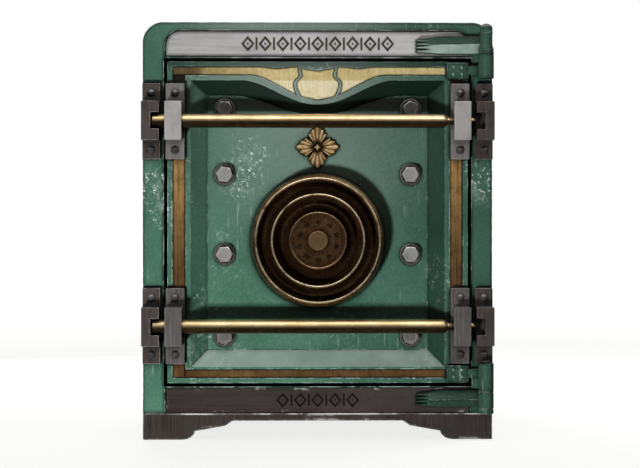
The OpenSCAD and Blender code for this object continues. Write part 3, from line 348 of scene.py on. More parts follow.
def engraved_steel(name, node, ornament, base, dark, bright, fill, metallic=0.55, rubbed_edge=True):
    """Drawn steel plate with a filled ornament of the given half length, rubbed or in painted shade at its
    border, paler away from its left end, with painted shade in its corners and cuts.
    """
    low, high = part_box(node)
    face_y = low.y
    height = high.z - low.z
    s = Shader(name, metallic=metallic, roughness=0.4)
    along = s.ramp(s.noise(1, 3, 0.6, s.stretched(9, 300, 300)), 0.3, 0.7)
    cloud = s.ramp(s.noise(11, 6, 0.65), 0.32, 0.7)
    colour = s.mix(cloud, dark, base)
    colour = s.mix(s.times(along, 0.35), colour, bright)
    paler_zone = s.ramp(s.axis("x"), LOW.x * 0.85, LOW.x * 0.25)
    blotch = s.ramp(s.noise(5, 4, 0.6), 0.35, 0.65)
    colour = s.mix(s.times(s.most(paler_zone, 0.25), s.most(blotch, 0.35), 0.55), colour, bright)
    speck = s.times(s.ramp(s.noise(230, 4, 0.7), 0.60, 0.70), s.ramp(s.noise(14, 2), 0.35, 0.6), 0.55)
    colour = s.mix(speck, colour, darker(base, 0.35))
    off_middle = s.math("ABSOLUTE", s.math("SUBTRACT", s.axis("z"), (low.z + high.z) / 2))
    beyond = s.most(s.ramp(off_middle, height * 0.36, height * 0.40),
                    s.ramp(s.math("ABSOLUTE", s.axis("x")), ornament + 0.006, ornament + 0.014))
    border = s.times(s.edges(0.0075, *WIDE), beyond)
    if rubbed_edge:
        colour = s.mix(s.times(border, s.ramp(s.noise(52, 6, 0.75), 0.55, 0.64), 0.65), colour,
                       (0.75, 0.73, 0.71))
    else:
        # Painted shade: the border blackened as if the gap round the plate lay in shadow.
        colour = s.mix(s.times(border, 0.95), colour, (0.006, 0.005, 0.005))
        colour = s.mix(s.times(s.edges(0.0022, *WIDE), 0.7), colour, (0.03, 0.02, 0.012))
    cut = s.ramp(s.axis("y"), face_y + 0.0005, face_y + 0.0011)
    gilt = s.mix(s.ramp(s.noise(120, 4, 0.7), 0.35, 0.65), fill, darker(fill, 0.3))
    colour = s.mix(cut, colour, gilt)
    # Painted shade in the corners and in the cut ornament.
    colour = s.mix(s.times(s.corners(0.004, 0.35, 0.9), 0.9), colour, (0.012, 0.009, 0.007))
    roughness = s.ramp(s.noise(30, 5, 0.6), 0.25, 0.75, 0.30, 0.52)
    normal = s.bump(s.noise(240, 4, 0.7), 0.14, 0.0004)
    return s.done(colour, roughness, normal)


def aged_brass(name, bright, mid, dark, rough=(0.22, 0.42), patina=0.5, scale=26, edge_gain=0.5, grime_and_shade=0.8,
               drawn=None, edge_radius=0.0012, metallic=1.0, paler_higher=False, painted_dark_under=0.0,
               edge_shaded=False):
    """Brass or bronze: bright where rubbed, brown where hands have stained it, and dark in its corners from
    dirt and painted shade.

    Options pale it towards the top and blacken it above the guides' tops; blacken what faces down, as
    painted shade; and blacken its edges, as painted shade of the gaps beside them.
    """
    s = Shader(name, metallic=metallic, roughness=0.3)
    cloud = s.ramp(s.noise(scale, 6, 0.65), 0.30, 0.70)
    # Paler towards the top, up to the guides.
    if paler_higher:
        tall = HIGH.z - LOW.z
        height = s.ramp(s.axis("z"), LOW.z + tall * 0.35, LOW.z + tall * 0.68, 0.0, 0.7)
        cloud = s.most(s.times(cloud, 0.2), height)
    colour = s.mix(cloud, mid, bright)
    # Painted shade: what faces down is blackened, as on the rods' undersides.
    if painted_dark_under:
        below = s.ramp(s.facing("z"), 0.32, -0.30)
        colour = s.mix(s.times(below, painted_dark_under), colour, darker(dark, 0.06))
    stain = s.times(s.ramp(s.noise(scale * 2.3, 6, 0.75, distortion=0.5), 0.46, 0.64), patina)
    colour = s.mix(stain, colour, dark)
    if drawn:
        lines = s.ramp(s.noise(1, 2, 0.5, s.stretched(*drawn)), 0.35, 0.68)
        colour = s.mix(s.times(lines, 0.30), colour, dark)
    rubbed = s.times(s.edges(edge_radius), s.ramp(s.noise(90, 4), 0.28, 0.55), edge_gain)
    colour = s.mix(rubbed, colour, tuple(min(1.0, c * 1.25) for c in bright))
    # Blackened above the guides' tops.
    if paler_higher:
        colour = s.mix(s.ramp(s.axis("z"), GUIDE_TOP - 0.008, GUIDE_TOP), colour, (0.010, 0.007, 0.004))
    # Painted shade: edges blackened as if the gaps beside them lay in shadow.
    if edge_shaded:
        colour = s.mix(s.edges(0.0036, *WIDE), colour, (0.005, 0.003, 0.002))
    # Corners darkened by dirt and by painted shade.
    colour = s.mix(s.times(s.corners(0.01), grime_and_shade), colour, darker(dark, 0.12))
    roughness = s.ramp(s.most(s.noise(scale * 1.7, 5, 0.7), stain), 0.25, 0.85, rough[0], rough[1])
    normal = s.bump(s.noise(260, 4, 0.7), 0.10, 0.0003)
    return s.done(colour, roughness, normal)


def rolled_bronze(name, lip_y, depth, rubbed_and_lit_rim=1.0, lit=0.0):
    """Dark bronze, browned by hands, whose narrow lip, at lip_y, is rubbed bright and given a painted
    highlight;
    painted shade and dirt darken it deeper behind the lip, and painted shade darkens its corners.

    lit brightens the flank that faces up and to the right.
    """
    s = Shader(name, metallic=0.92, roughness=0.3)
    cloud = s.ramp(s.noise(34, 6, 0.7), 0.30, 0.70)
    colour = s.mix(cloud, (0.15, 0.070, 0.028), (0.25, 0.135, 0.060))
    stain = s.ramp(s.noise(85, 6, 0.75, distortion=0.5), 0.46, 0.62)
    colour = s.mix(s.times(stain, 0.75), colour, (0.050, 0.022, 0.010))
    # Painted shade, with some dirt: darker deeper behind the lip.
    deep = s.ramp(s.axis("y"), lip_y + depth * 0.35, lip_y + depth * 0.9)
    colour = s.mix(s.times(deep, 0.5), colour, (0.036, 0.016, 0.008))
    if lit:
        up_right = s.node("ShaderNodeVectorMath", operation="DOT_PRODUCT")
        s.put(up_right.inputs[0], s.node("ShaderNodeTexCoord").outputs["Normal"])
        up_right.inputs[1].default_value = (0.50, -0.26, 0.80)
        patches = s.ramp(s.noise(50, 5, 0.7), 0.25, 0.6)
        gold = s.times(s.ramp(up_right.outputs["Value"], 0.68, 0.95), patches, lit)
        colour = s.mix(gold, colour, (0.80, 0.62, 0.32))
    # The lip: rubbed bright, with a painted highlight.
    if rubbed_and_lit_rim:
        rim = s.times(s.ramp(s.axis("y"), lip_y + 0.0012, lip_y + 0.0004),
                      s.ramp(s.noise(40, 5, 0.7), 0.30, 0.55))
        colour = s.mix(s.times(rim, rubbed_and_lit_rim), colour, (0.86, 0.72, 0.46))
    rubbed = s.times(s.edges(0.0015), s.ramp(s.noise(90, 4), 0.30, 0.58), 0.4)
    colour = s.mix(rubbed, colour, (0.42, 0.29, 0.13))
    specks = s.ramp(s.noise(330, 4, 0.7), 0.63, 0.70)
    colour = s.mix(s.times(specks, 0.6), colour, (0.60, 0.45, 0.22))
    # Painted shade in the corners.
    colour = s.mix(s.times(s.corners(0.006), 0.8), colour, (0.006, 0.003, 0.002))
    roughness = s.ramp(s.most(s.noise(58, 5, 0.7), stain), 0.25, 0.85, 0.20, 0.42)
    return s.done(colour, roughness, s.bump(s.noise(260, 4, 0.7), 0.16, 0.0003))


def cast_gilt(name, seat_y, top):
    """Gilt casting: bright on its high ribs, with painted shade black down in its creases."""
    s = Shader(name, metallic=0.75, roughness=0.3)
    gold = s.mix(s.ramp(s.noise(120, 4, 0.6), 0.35, 0.65), (0.62, 0.44, 0.20), (0.88, 0.66, 0.36))
    brown = s.mix(s.ramp(s.noise(90, 5, 0.7), 0.3, 0.7), (0.22, 0.13, 0.05), (0.12, 0.065, 0.025))
    colour = s.mix(s.ramp(s.axis("y"), seat_y - top * 0.62, seat_y - top * 0.92), brown, gold)
    # Painted shade: black down in the creases.
    crease = s.ramp(s.axis("y"), seat_y - top * 0.52, seat_y - top * 0.28)
    colour = s.mix(crease, colour, (0.006, 0.004, 0.002))
    return s.done(colour, 0.3, s.bump(s.noise(300, 3, 0.6), 0.08, 0.0003))


def crest_brass():
    """Gilt crest: darker along its top band, pale where it swells down, browned at its far ends; painted
    shade at its edges.
    """
    low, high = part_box("crest_keystone")
    middle_z = low.z + (high.z - low.z) * 0.62
    s = Shader("crest_brass", metallic=0.55, roughness=0.36)
    gold = s.mix(s.ramp(s.noise(70, 6, 0.7), 0.3, 0.7), (0.62, 0.50, 0.21), (0.80, 0.66, 0.33))
    pale = s.mix(s.ramp(s.noise(60, 6, 0.7), 0.3, 0.7), (0.90, 0.78, 0.46), (0.98, 0.88, 0.62))
    up = s.ramp(s.axis("z"), middle_z - 0.0015, middle_z + 0.0015)
    colour = s.mix(up, pale, gold)
    away = s.ramp(s.math("ABSOLUTE", s.math("SUBTRACT", s.axis("x"), 0.06)), 0.12, 0.26)
    tarnish = s.times(away, s.ramp(s.noise(24, 6, 0.7), 0.25, 0.62))
    colour = s.mix(tarnish, colour, (0.20, 0.13, 0.05))
    end = s.ramp(s.axis("x"), LOW.x * 0.55, LOW.x * 0.76)
    colour = s.mix(s.times(end, 0.85), colour, (0.045, 0.030, 0.010))
    upright = s.ramp(s.noise(1, 2, 0.5, s.stretched(700, 700, 20)), 0.35, 0.7)
    colour = s.mix(s.times(upright, 0.22), colour, (0.30, 0.20, 0.08))
    spots = s.times(s.ramp(s.noise(170, 5, 0.75), 0.58, 0.68), 0.6)
    colour = s.mix(spots, colour, (0.16, 0.10, 0.035))
    # Painted shade: edges blackened as if the groove round the crest lay in shadow.
    colour = s.mix(s.edges(0.0030, 0.003, 0.03), colour, (0.004, 0.003, 0.002))
    rough = s.ramp(s.noise(50, 5, 0.7), 0.25, 0.75, 0.28, 0.5)
    return s.done(colour, rough, s.bump(s.noise(420, 4, 0.7), 0.12, 0.0003))


def plain(name, colour, dark, metallic=0.0, rough=(0.4, 0.6), scale=18, bump=0.08):
    """A quiet finish for the inside: slightly cloudy, slightly grained, with painted shade in its corners.
    """
    s = Shader(name, metallic=metallic, roughness=0.5)
    tone = s.mix(s.ramp(s.noise(scale, 5, 0.6), 0.32, 0.7), colour, dark)
    # Painted shade in the corners.
    tone = s.mix(s.times(s.corners(0.02), 0.6), tone, darker(dark, 0.25))
    roughness = s.ramp(s.noise(scale * 3, 4), 0.3, 0.7, rough[0], rough[1])
    return s.done(tone, roughness, s.bump(s.noise(scale * 14, 4, 0.7), bump, 0.0005))


GREEN = (0.038, 0.104, 0.070)
GREEN_DARK = (0.021, 0.070, 0.044)
CHIP = (0.46, 0.53, 0.48)

MATERIALS = {
    "green_paint": worn_paint("green_paint", GREEN, GREEN_DARK, CHIP, sides=0.97, contact_shade=0.95),
    "plinth_steel": worn_steel(
        "plinth_steel", (0.034, 0.027, 0.024), (0.018, 0.014, 0.012), (0.075, 0.063, 0.058),
        metallic=0.35, rough=(0.42, 0.66), edge_radius=0.003, worn_top=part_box("plinth")[1].z),
    "header_steel": engraved_steel(
        "header_steel", "header_plate", 0.112, (0.48, 0.465, 0.46), (0.34, 0.33, 0.325),
        (0.80, 0.785, 0.78), (0.22, 0.15, 0.07), rubbed_edge=False),
    "sill_steel": engraved_steel(
        "sill_steel", "sill_plate", 0.062, (0.034, 0.026, 0.024), (0.020, 0.015, 0.013),
        (0.065, 0.053, 0.050), (0.012, 0.007, 0.005), metallic=0.4),
    "lining_paint": plain("lining_paint", (0.36, 0.38, 0.37), (0.26, 0.28, 0.27)),
    "filling": plain("filling", (0.55, 0.53, 0.48), (0.40, 0.38, 0.34), rough=(0.8, 0.95), scale=40,
                     bump=0.5),
    "seal": plain("seal", (0.025, 0.025, 0.025), (0.012, 0.012, 0.012), rough=(0.6, 0.8)),
    "keeper_steel": worn_steel(
        "keeper_steel", (0.078, 0.062, 0.056), (0.034, 0.025, 0.021), (0.15, 0.13, 0.12)),
    "guide_steel": worn_steel(
        "guide_steel", (0.115, 0.104, 0.100), (0.055, 0.048, 0.045), (0.24, 0.225, 0.22), shine=0.62,
        block_y=GUIDE_BACK),
    "screw_steel": worn_steel(
        "screw_steel", (0.14, 0.13, 0.13), (0.075, 0.068, 0.066), (0.30, 0.29, 0.29), metallic=0.8,
        rough=(0.28, 0.45)),
    "bolt_steel": worn_steel(
        "bolt_steel", (0.17, 0.165, 0.16), (0.09, 0.085, 0.08), (0.34, 0.33, 0.325),
        edge=(0.85, 0.84, 0.83), metallic=0.6, rough=(0.28, 0.46), shine=0.30, shine_from=(0.30, 0.36),
        shine_to=(0.68, 0.74)),
    "inlay_bronze": aged_brass(
        "inlay_bronze", (0.58, 0.34, 0.125), (0.085, 0.045, 0.016), (0.05, 0.026, 0.009),
        rough=(0.34, 0.56), patina=0.45, drawn=(600, 600, 14), metallic=0.5, paler_higher=True,
        edge_shaded=True),
    "crest_brass": crest_brass(),
    "rosette_brass": cast_gilt("rosette_brass", PANEL_Y, 5.6 * MM),
    "dial_bronze": aged_brass(
        "dial_bronze", (0.20, 0.115, 0.058), (0.115, 0.062, 0.032), (0.045, 0.022, 0.012),
        rough=(0.16, 0.36), patina=0.6, scale=32, edge_gain=0.9, grime_and_shade=0.85, edge_radius=0.0016),
    "cap_bronze": aged_brass(
        "cap_bronze", (0.20, 0.125, 0.060), (0.14, 0.085, 0.040), (0.07, 0.04, 0.018),
        rough=(0.3, 0.45), patina=0.35, scale=50, metallic=0.7, edge_gain=1.0, edge_radius=0.0009),
    "rod_brass": aged_brass(
        "rod_brass", (0.86, 0.68, 0.40), (0.66, 0.47, 0.22), (0.26, 0.15, 0.06), rough=(0.30, 0.42),
        patina=0.30, scale=18, drawn=(8, 500, 500), metallic=0.9, painted_dark_under=0.96),
    "lock_brass": aged_brass(
        "lock_brass", (0.78, 0.62, 0.33), (0.62, 0.47, 0.22), (0.30, 0.20, 0.09), patina=0.25),
    "case_paint": plain("case_paint", (0.15, 0.17, 0.16), (0.09, 0.10, 0.10)),
    "bright_steel": plain("bright_steel", (0.50, 0.50, 0.51), (0.34, 0.34, 0.35), metallic=1.0,
                          rough=(0.25, 0.4)),
}
CASING_PAINT = worn_paint("casing_paint", GREEN, GREEN_DARK, CHIP, dust_and_top_light=0.0, painted_shade=0.5, edge_shade=0.95)
HINGE_PAINT = worn_paint(
    "hinge_paint", (0.040, 0.108, 0.070), (0.022, 0.066, 0.042), CHIP, dust_and_top_light=0.0, painted_shade=0.0,
    edge_radius=0.0016, edge_shade=0.6, sheen_under=0.62)
# A darker copy of the hinge paint: painted shade on the leaves, the barrels and the lower strap.
HINGE_PAINT_SHADED = worn_paint(
    "hinge_paint_shaded", (0.034, 0.092, 0.060), (0.018, 0.054, 0.034), CHIP, dust_and_top_light=0.0, painted_shade=0.4,
    edge_radius=0.0016, edge_shade=0.6)
# A paler green on the rivets: a painted highlight.
RIVET_PAINT_HIGHLIT = worn_paint(
    "rivet_paint_highlit", (0.12, 0.21, 0.16), (0.07, 0.14, 0.10), CHIP, dust_and_top_light=0.0, painted_shade=0.0)
WASHER_STEEL = worn_steel(
    "washer_steel", (0.13, 0.125, 0.12), (0.06, 0.055, 0.05), (0.26, 0.25, 0.245), metallic=0.6,
    rough=(0.3, 0.46), edge_radius=0.001)
DIAL_NUMBER = aged_brass(
    "dial_number", (0.020, 0.011, 0.006), (0.012, 0.007, 0.004), (0.006, 0.003, 0.002), metallic=0.5,
    edge_gain=0.3)
FINISHES = {
    "front_frame": CASING_PAINT, "outer_casing": CASING_PAINT, "back_panel": CASING_PAINT,
    "hinge_leaf_upper": HINGE_PAINT_SHADED, "hinge_leaf_lower": HINGE_PAINT_SHADED, "leaf_rivets": RIVET_PAINT_HIGHLIT,
}


# ---- Mesh helpers ---------------------------------------------------------------------------

def finish_edges(piece, width):
    """Rounds a piece's sharp edges and evens out its shading."""
    weld = piece.modifiers.new("weld", "WELD")
    weld.merge_threshold = 0.00002
    if width:
        bevel = piece.modifiers.new("bevel", "BEVEL")
        bevel.width = width
        bevel.segments = 2
        bevel.limit_method = "ANGLE"
        bevel.angle_limit = math.radians(32)
        bevel.use_clamp_overlap = True
    normals = piece.modifiers.new("normals", "WEIGHTED_NORMAL")
    normals.keep_sharp = True
    normals.weight = 80


def build(name, verts, faces, body, slot, replaces=(), sharp=35, material=None):
    """Makes a mesh piece from points and puts it on its body; edges over sharp degrees stay crisp."""
    mesh = bpy.data.meshes.new(name)
    mesh.from_pydata([tuple(v) for v in verts], [], faces)
    work = bmesh.new()
    work.from_mesh(mesh)
    bmesh.ops.remove_doubles(work, verts=work.verts, dist=1e-6)
    bmesh.ops.recalc_face_normals(work, faces=work.faces)
    work.to_mesh(mesh)
    work.free()
    mesh.shade_smooth()
    if sharp:
        mesh.set_sharp_from_angle(angle=math.radians(sharp))
    piece = add_object(name, mesh)
    mesh.materials.append(material or MATERIALS[slot])
    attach(piece, body)
    if replaces:
        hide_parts(*replaces)
    return piece


def grid_faces(rows, columns):
    """Quads over rows x columns points, with the last column joined to the first."""
    faces = []
    for i in range(rows - 1):
        for j in range(columns):
            k = (j + 1) % columns
            faces.append((i * columns + j, i * columns + k, (i + 1) * columns + k, (i + 1) * columns + j))
    return faces


def lathe(name, profile, body, slot, replaces, steps=160, material=None):
    """Turns (radius, height over the panel) points about the dial's axis."""
    verts = []
    for radius, height in profile:
        for i in range(steps):
            a = TAU * i / steps
            verts.append((DIAL.x + radius * MM * math.sin(a), PANEL_Y - height * MM,
                          DIAL.z + radius * MM * math.cos(a)))
    build(name, verts, grid_faces(len(profile), steps), body, slot, replaces, sharp=40, material=material)


def arc(cx, cy, radius, start, end, steps):
    """Points on an arc, angles in degrees."""
    out = []
    for i in range(steps + 1):
        a = math.radians(start + (end - start) * i / steps)
        out.append((cx + radius * math.cos(a), cy + radius * math.sin(a)))
    return out


def smooth(u):
    """Eases from 0 to 1."""
    u = min(1.0, max(0.0, u))
    return u * u * (3 - 2 * u)


# ---- CAD nodes: better edges and materials ----------------------------------------------------

EDGE_WIDTHS = {
    "outer_casing": 0.0015, "front_frame": 0.0026, "plinth": 0.0016, "base_plate": 0.001,
    "header_plate": 0.0005, "sill_plate": 0.0006, "jamb_frame": 0.001, "door_slab": 0.0016,
    "door_case": 0.001, "door_back_cover": 0.0012, "shelf": 0.001, "shelf_supports": 0.001,
    "lock_case": 0.0008, "bolt_carrier": 0.0006, "lock_bolt": 0.0005, "bolt_guides": 0.0008,
    "hinge_leaf_upper": 0.0008, "hinge_leaf_lower": 0.0008, "side_inlays": 0.0006, "inlay_bottom": 0.0006,
    "crest_wings": 0.0005, "crest_keystone": 0.0005,
}
for side in ("left", "right"):
    for level in ("upper", "lower"):
        EDGE_WIDTHS[f"keeper_{side}_{level}"] = 0.0011
        EDGE_WIDTHS[f"guide_{side}_{level}"] = 0.0011

slots = {row["node"]: row["material_slot"] for row in frame["record"]["subparts"]}
for node, thing in NODES.items():
    thing.data.materials.clear()
    thing.data.materials.append(FINISHES.get(node, MATERIALS[slots[node]]))
    for polygon in thing.data.polygons:
        polygon.use_smooth = True
    if node in ("door_panel", "back_panel"):
        thing.data.shade_flat()
    else:
        finish_edges(thing, EDGE_WIDTHS.get(node, 0.0))


# ---- Dial, handwheel and bezel ----------------------------------------------------------------

def make_bezel():
    """A bowl with a thin outer wall, a band on its flank that carries a painted highlight up and to the
    right, a lip rubbed bright with a painted highlight, and a floor with one low ring.
    """
    outer = (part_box("dial_bezel")[1].x - DIAL.x) / MM
    lip = (PANEL_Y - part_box("dial_bezel")[0].y) / MM
    floor = lip - 22
    inner = 20
    profile = [(inner, 0.2), (outer, 0.0), (outer, 4.0), (outer - 0.7, 9), (outer - 1.5, lip - 14),
               (outer - 2.4, lip - 8), (outer - 3.0, lip - 5.2), (outer - 3.5, lip - 4.5),
               (outer - 6.1, lip - 2.8)]
    profile += arc(outer - 7.9, lip - 1.8, 1.8, 15, 165, 12)
    profile += [(outer - 10.6, lip - 4.6), (outer - 12.2, lip - 10), (outer - 13.2, floor + 6)]
    profile += arc(outer - 17.4, floor + 4.4, 4.2, -4, -90, 8)
    profile += [(outer - 19.0, floor), (outer - 19.4, floor + 0.9), (outer - 20.6, floor + 0.9),
                (outer - 21.0, floor), (inner, floor), (inner, 0.2)]
    bronze = rolled_bronze("bezel_bronze", PANEL_Y - lip * MM, 22 * MM, lit=0.85)
    lathe("bezel", profile, "door", "dial_bronze", ["dial_bezel"], material=bronze)


def make_handwheel():
    """A dished wheel on a sleeve, with a lip rubbed bright and given a painted highlight, round the dial."""
    outer = (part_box("handwheel")[1].x - DIAL.x) / MM
    lip = (PANEL_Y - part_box("handwheel")[0].y) / MM
    floor = lip - 20
    under = lip - 35
    back = (PANEL_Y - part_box("handwheel")[1].y) / MM
    bore, sleeve = 5.05, 12.0
    profile = [(bore, back), (sleeve, back), (sleeve, under), (outer - 2, under)]
    profile += arc(outer - 2, under + 2, 2, -90, 0, 4)
    profile += [(outer - 0.4, floor - 4), (outer - 1.2, floor + 1), (outer - 2.4, floor + 6),
                (outer - 4.0, lip - 6.6), (outer - 4.9, lip - 2.6)]
    profile += arc(outer - 6.6, lip - 1.6, 1.6, 10, 170, 12)
    profile += [(outer - 9.2, lip - 4.6), (outer - 11.8, lip - 10), (outer - 14.2, floor + 5)]
    profile += arc(outer - 18.6, floor + 3.8, 3.8, -5, -80, 7)
    profile += [(outer - 20.0, floor + 1.2), (outer - 21.2, floor + 1.2), (outer - 21.8, floor),
                (bore, floor), (bore, back)]
    bronze = rolled_bronze("wheel_bronze", PANEL_Y - lip * MM, 20 * MM)
    lathe("wheel", profile, "handwheel", "dial_bronze", ["handwheel"], material=bronze)


def make_dial():
    """The combination dial: a flared skirt, a rolled rim, and a face cast with marks and numbers."""
    face = (PANEL_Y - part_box("dial_cap")[1].y) / MM
    flare = (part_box("dial_knob")[1].x - DIAL.x) / MM
    rim = flare - 6
    base = face - 29
    bore = 5.0
    profile = [(bore, base), (flare - 1, base), (flare, base + 1), (flare, base + 2.2),
               (flare - 1.6, base + 4), (flare - 3.8, base + 7), (flare - 5.2, base + 12),
               (flare - 5.8, base + 18), (rim, face - 1.2)]
    profile += arc(rim - 1.7, face - 0.7, 1.7, 0, 90, 5)
    profile += [(rim - 2.6, face + 0.7), (rim - 3.4, face - 0.1), (24.0, face - 0.1), (23.6, face + 0.5),
                (22.6, face + 0.5), (22.2, face - 0.1), (bore, face - 0.1), (bore, base)]
    bronze = rolled_bronze("knob_bronze", PANEL_Y - (face + 1) * MM, 26 * MM, rubbed_and_lit_rim=0.12)
    lathe("dial", profile, "dial", "dial_bronze", ["dial_knob"], material=bronze)


def make_dial_marks():
    """Raised strokes round the dial's face: long at every fifth."""
    face_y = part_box("dial_cap")[1].y
    outer = (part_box("dial_knob")[1].x - DIAL.x) - 10.5 * MM
    verts, faces = [], []
    count = 50
    for i in range(count):
        a = TAU * i / count
        long = i % 5 == 0
        r1, r0 = outer, outer - (4.6 if long else 2.6) * MM
        half = (0.55 if long else 0.32) * MM
        across = Vector((math.cos(a), 0, -math.sin(a)))
        out = Vector((math.sin(a), 0, math.cos(a)))
        k = len(verts)
        for y, shrink in ((face_y + 0.3 * MM, 1.0), (face_y - 0.55 * MM, 0.7)):
            for r, side in ((r0, -1), (r1, -1), (r1, 1), (r0, 1)):
                p = Vector((DIAL.x, y, DIAL.z)) + out * r + across * (side * half * shrink)
                verts.append(p)
        faces += [(k + 4, k + 5, k + 6, k + 7), (k, k + 1, k + 5, k + 4), (k + 1, k + 2, k + 6, k + 5),
                  (k + 2, k + 3, k + 7, k + 6), (k + 3, k, k + 4, k + 7), (k + 3, k + 2, k + 1, k)]
    build("dial_marks", verts, faces, "dial", "dial_bronze", material=DIAL_NUMBER)


def make_numbers():
    """Small cast numbers, tens of the dial's count, standing round its face."""
    face_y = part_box("dial_cap")[1].y
    radius = (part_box("dial_knob")[1].x - DIAL.x) - 20.5 * MM
    made = []
    for i in range(10):
        curve = bpy.data.curves.new(f"number_{i}", "FONT")
        curve.body = str(i * 10)
        curve.size = 0.0078
        curve.extrude = 0.00045
        curve.bevel_depth = 0.00012
        curve.align_x = "CENTER"
        curve.align_y = "CENTER"
        text = add_object(f"number_{i}", curve)
        a = TAU * i / 10
        spot = (DIAL.x + radius * math.sin(a), face_y - 0.1 * MM, DIAL.z + radius * math.cos(a))
        place = Matrix.Translation(spot)
        text.matrix_world = place @ Matrix.Rotation(a, 4, "Y") @ Matrix.Rotation(math.pi / 2, 4, "X")
        bpy.context.view_layer.update()
        mesh = bpy.data.meshes.new_from_object(text.evaluated_get(bpy.context.evaluated_depsgraph_get()))
        mesh.transform(text.matrix_world)
        made.append(mesh)
        bpy.data.objects.remove(text)
    joined = bmesh.new()
    for mesh in made:
        joined.from_mesh(mesh)
    mesh = bpy.data.meshes.new("dial_numbers")
    joined.to_mesh(mesh)
    joined.free()
    piece = add_object("dial_numbers", mesh)
    mesh.materials.append(DIAL_NUMBER)
    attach(piece, "dial")


def make_cap():
    """The dial's centre cap: a button with a rounded rim and a shallow dish."""
    low = (PANEL_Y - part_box("dial_cap")[1].y) / MM
    high = (PANEL_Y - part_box("dial_cap")[0].y) / MM
    radius = (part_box("dial_cap")[1].x - DIAL.x) / MM
    profile = [(0.01, low), (radius - 0.6, low), (radius - 0.6, low + 1), (radius, low + 1.6),
               (radius, high - 2.4)]
    profile += arc(radius - 1.6, high - 2.2, 1.6, 0, 90, 6)
    profile += [(radius - 3.2, high - 0.6), (radius - 3.8, high - 1.2), (0.01, high - 1.0)]
    lathe("cap", profile, "dial", "cap_bronze", ["dial_cap"], steps=96)


make_bezel()
make_handwheel()
make_dial()
make_dial_marks()
make_numbers()
make_cap()


# ---- Lock rods --------------------------------------------------------------------------------

def make_rod(node):
    """A turned rod: chamfered tip, long shank, rounded shoulder, and a thin tail with a domed end."""
    low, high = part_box(node)
    y, z = (low.y + high.y) / 2, (low.z + high.z) / 2
    radius = (high.z - low.z) / 2
    tail = 5.5 * MM
    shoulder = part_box("guide_right_upper")[0].x - 4 * MM
    profile = [(low.x, TINY), (low.x, radius - 2.2 * MM), (low.x + 2.2 * MM, radius)]
    for k in range(1, 24):
        profile.append((low.x + (shoulder - radius - low.x) * k / 24, radius))
    profile += [(shoulder - radius + radius * math.sin(a), radius * math.cos(a))
                for a in (math.radians(d) for d in range(0, 56, 6))]
    profile += [(shoulder, tail + 0.3 * MM), (shoulder + 0.5 * MM, tail)]
    profile += [(high.x - tail + tail * math.sin(a), max(TINY, tail * math.cos(a)))
                for a in (math.radians(d) for d in range(0, 91, 9))]
    steps = 64
    verts = [(x, y + r * math.sin(TAU * i / steps), z + r * math.cos(TAU * i / steps))
             for x, r in profile for i in range(steps)]
    faces = grid_faces(len(profile), steps)
    build(node + "_bar", verts, faces, node, "rod_brass", [node], sharp=40)


make_rod("rod_upper")
make_rod("rod_lower")


# ---- Panel bolts ------------------------------------------------------------------------------

WASHER_RADIUS = 15.5 * MM


def bolt_places():
    """The (x, z) of the eight bolts: left column from the top down, then the right."""
    low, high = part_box("panel_washers")
    top, bottom = high.z - WASHER_RADIUS, low.z + WASHER_RADIUS
    levels = (top, top - 94 * MM, bottom + 118 * MM, bottom)
    return [(x, z) for x in (low.x + WASHER_RADIUS, high.x - WASHER_RADIUS) for z in levels]


def hex_head(verts, faces, x, z, turn, seat_y, height):
    """Adds a chamfered hexagon head, standing on a narrow collar, to the points and faces."""
    steps = 96
    across = 21 * MM
    chamfer = across / 2 * 0.93
    corners = []
    for i in range(steps):
        a = TAU * i / steps
        corner = (a + turn) % (TAU / 6) - TAU / 12
        hexagon = across / 2 / math.cos(corner)
        corners.append((a, hexagon, (hexagon - chamfer) / math.tan(math.radians(58))))
    collar = across / 2 - 1.2 * MM
    rings = [[(a, collar, 0.0) for a, _, _ in corners], [(a, collar, 1.1 * MM) for a, _, _ in corners],
             [(a, hexagon - 0.3 * MM, 1.1 * MM) for a, hexagon, _ in corners],
             [(a, hexagon, 1.5 * MM) for a, hexagon, _ in corners],
             [(a, hexagon, height - drop) for a, hexagon, drop in corners],
             [(a, chamfer, height) for a, _, _ in corners],
             [(a, chamfer * 0.80, height) for a, _, _ in corners],
             [(a, chamfer * 0.76, height - 0.4 * MM) for a, _, _ in corners],
             [(a, 2 * TINY, height - 0.4 * MM) for a, _, _ in corners]]
    start = len(verts)
    for ring in rings:
        for a, radius, up in ring:
            verts.append((x + radius * math.sin(a), seat_y - up, z + radius * math.cos(a)))
    faces.extend(tuple(start + v for v in face) for face in grid_faces(len(rings), steps))


def make_panel_bolts():
    """Eight heads, each standing at its own angle."""
    seat_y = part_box("panel_washers")[0].y
    height = seat_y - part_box("panel_bolts")[0].y
    verts, faces = [], []
    for turn, (x, z) in zip((24, 20, 34, 5, 12, 28, 31, 16), bolt_places()):
        hex_head(verts, faces, x, z, math.radians(turn), seat_y, height)
    build("bolt_heads", verts, faces, "door", "bolt_steel", ["panel_bolts"], sharp=22)


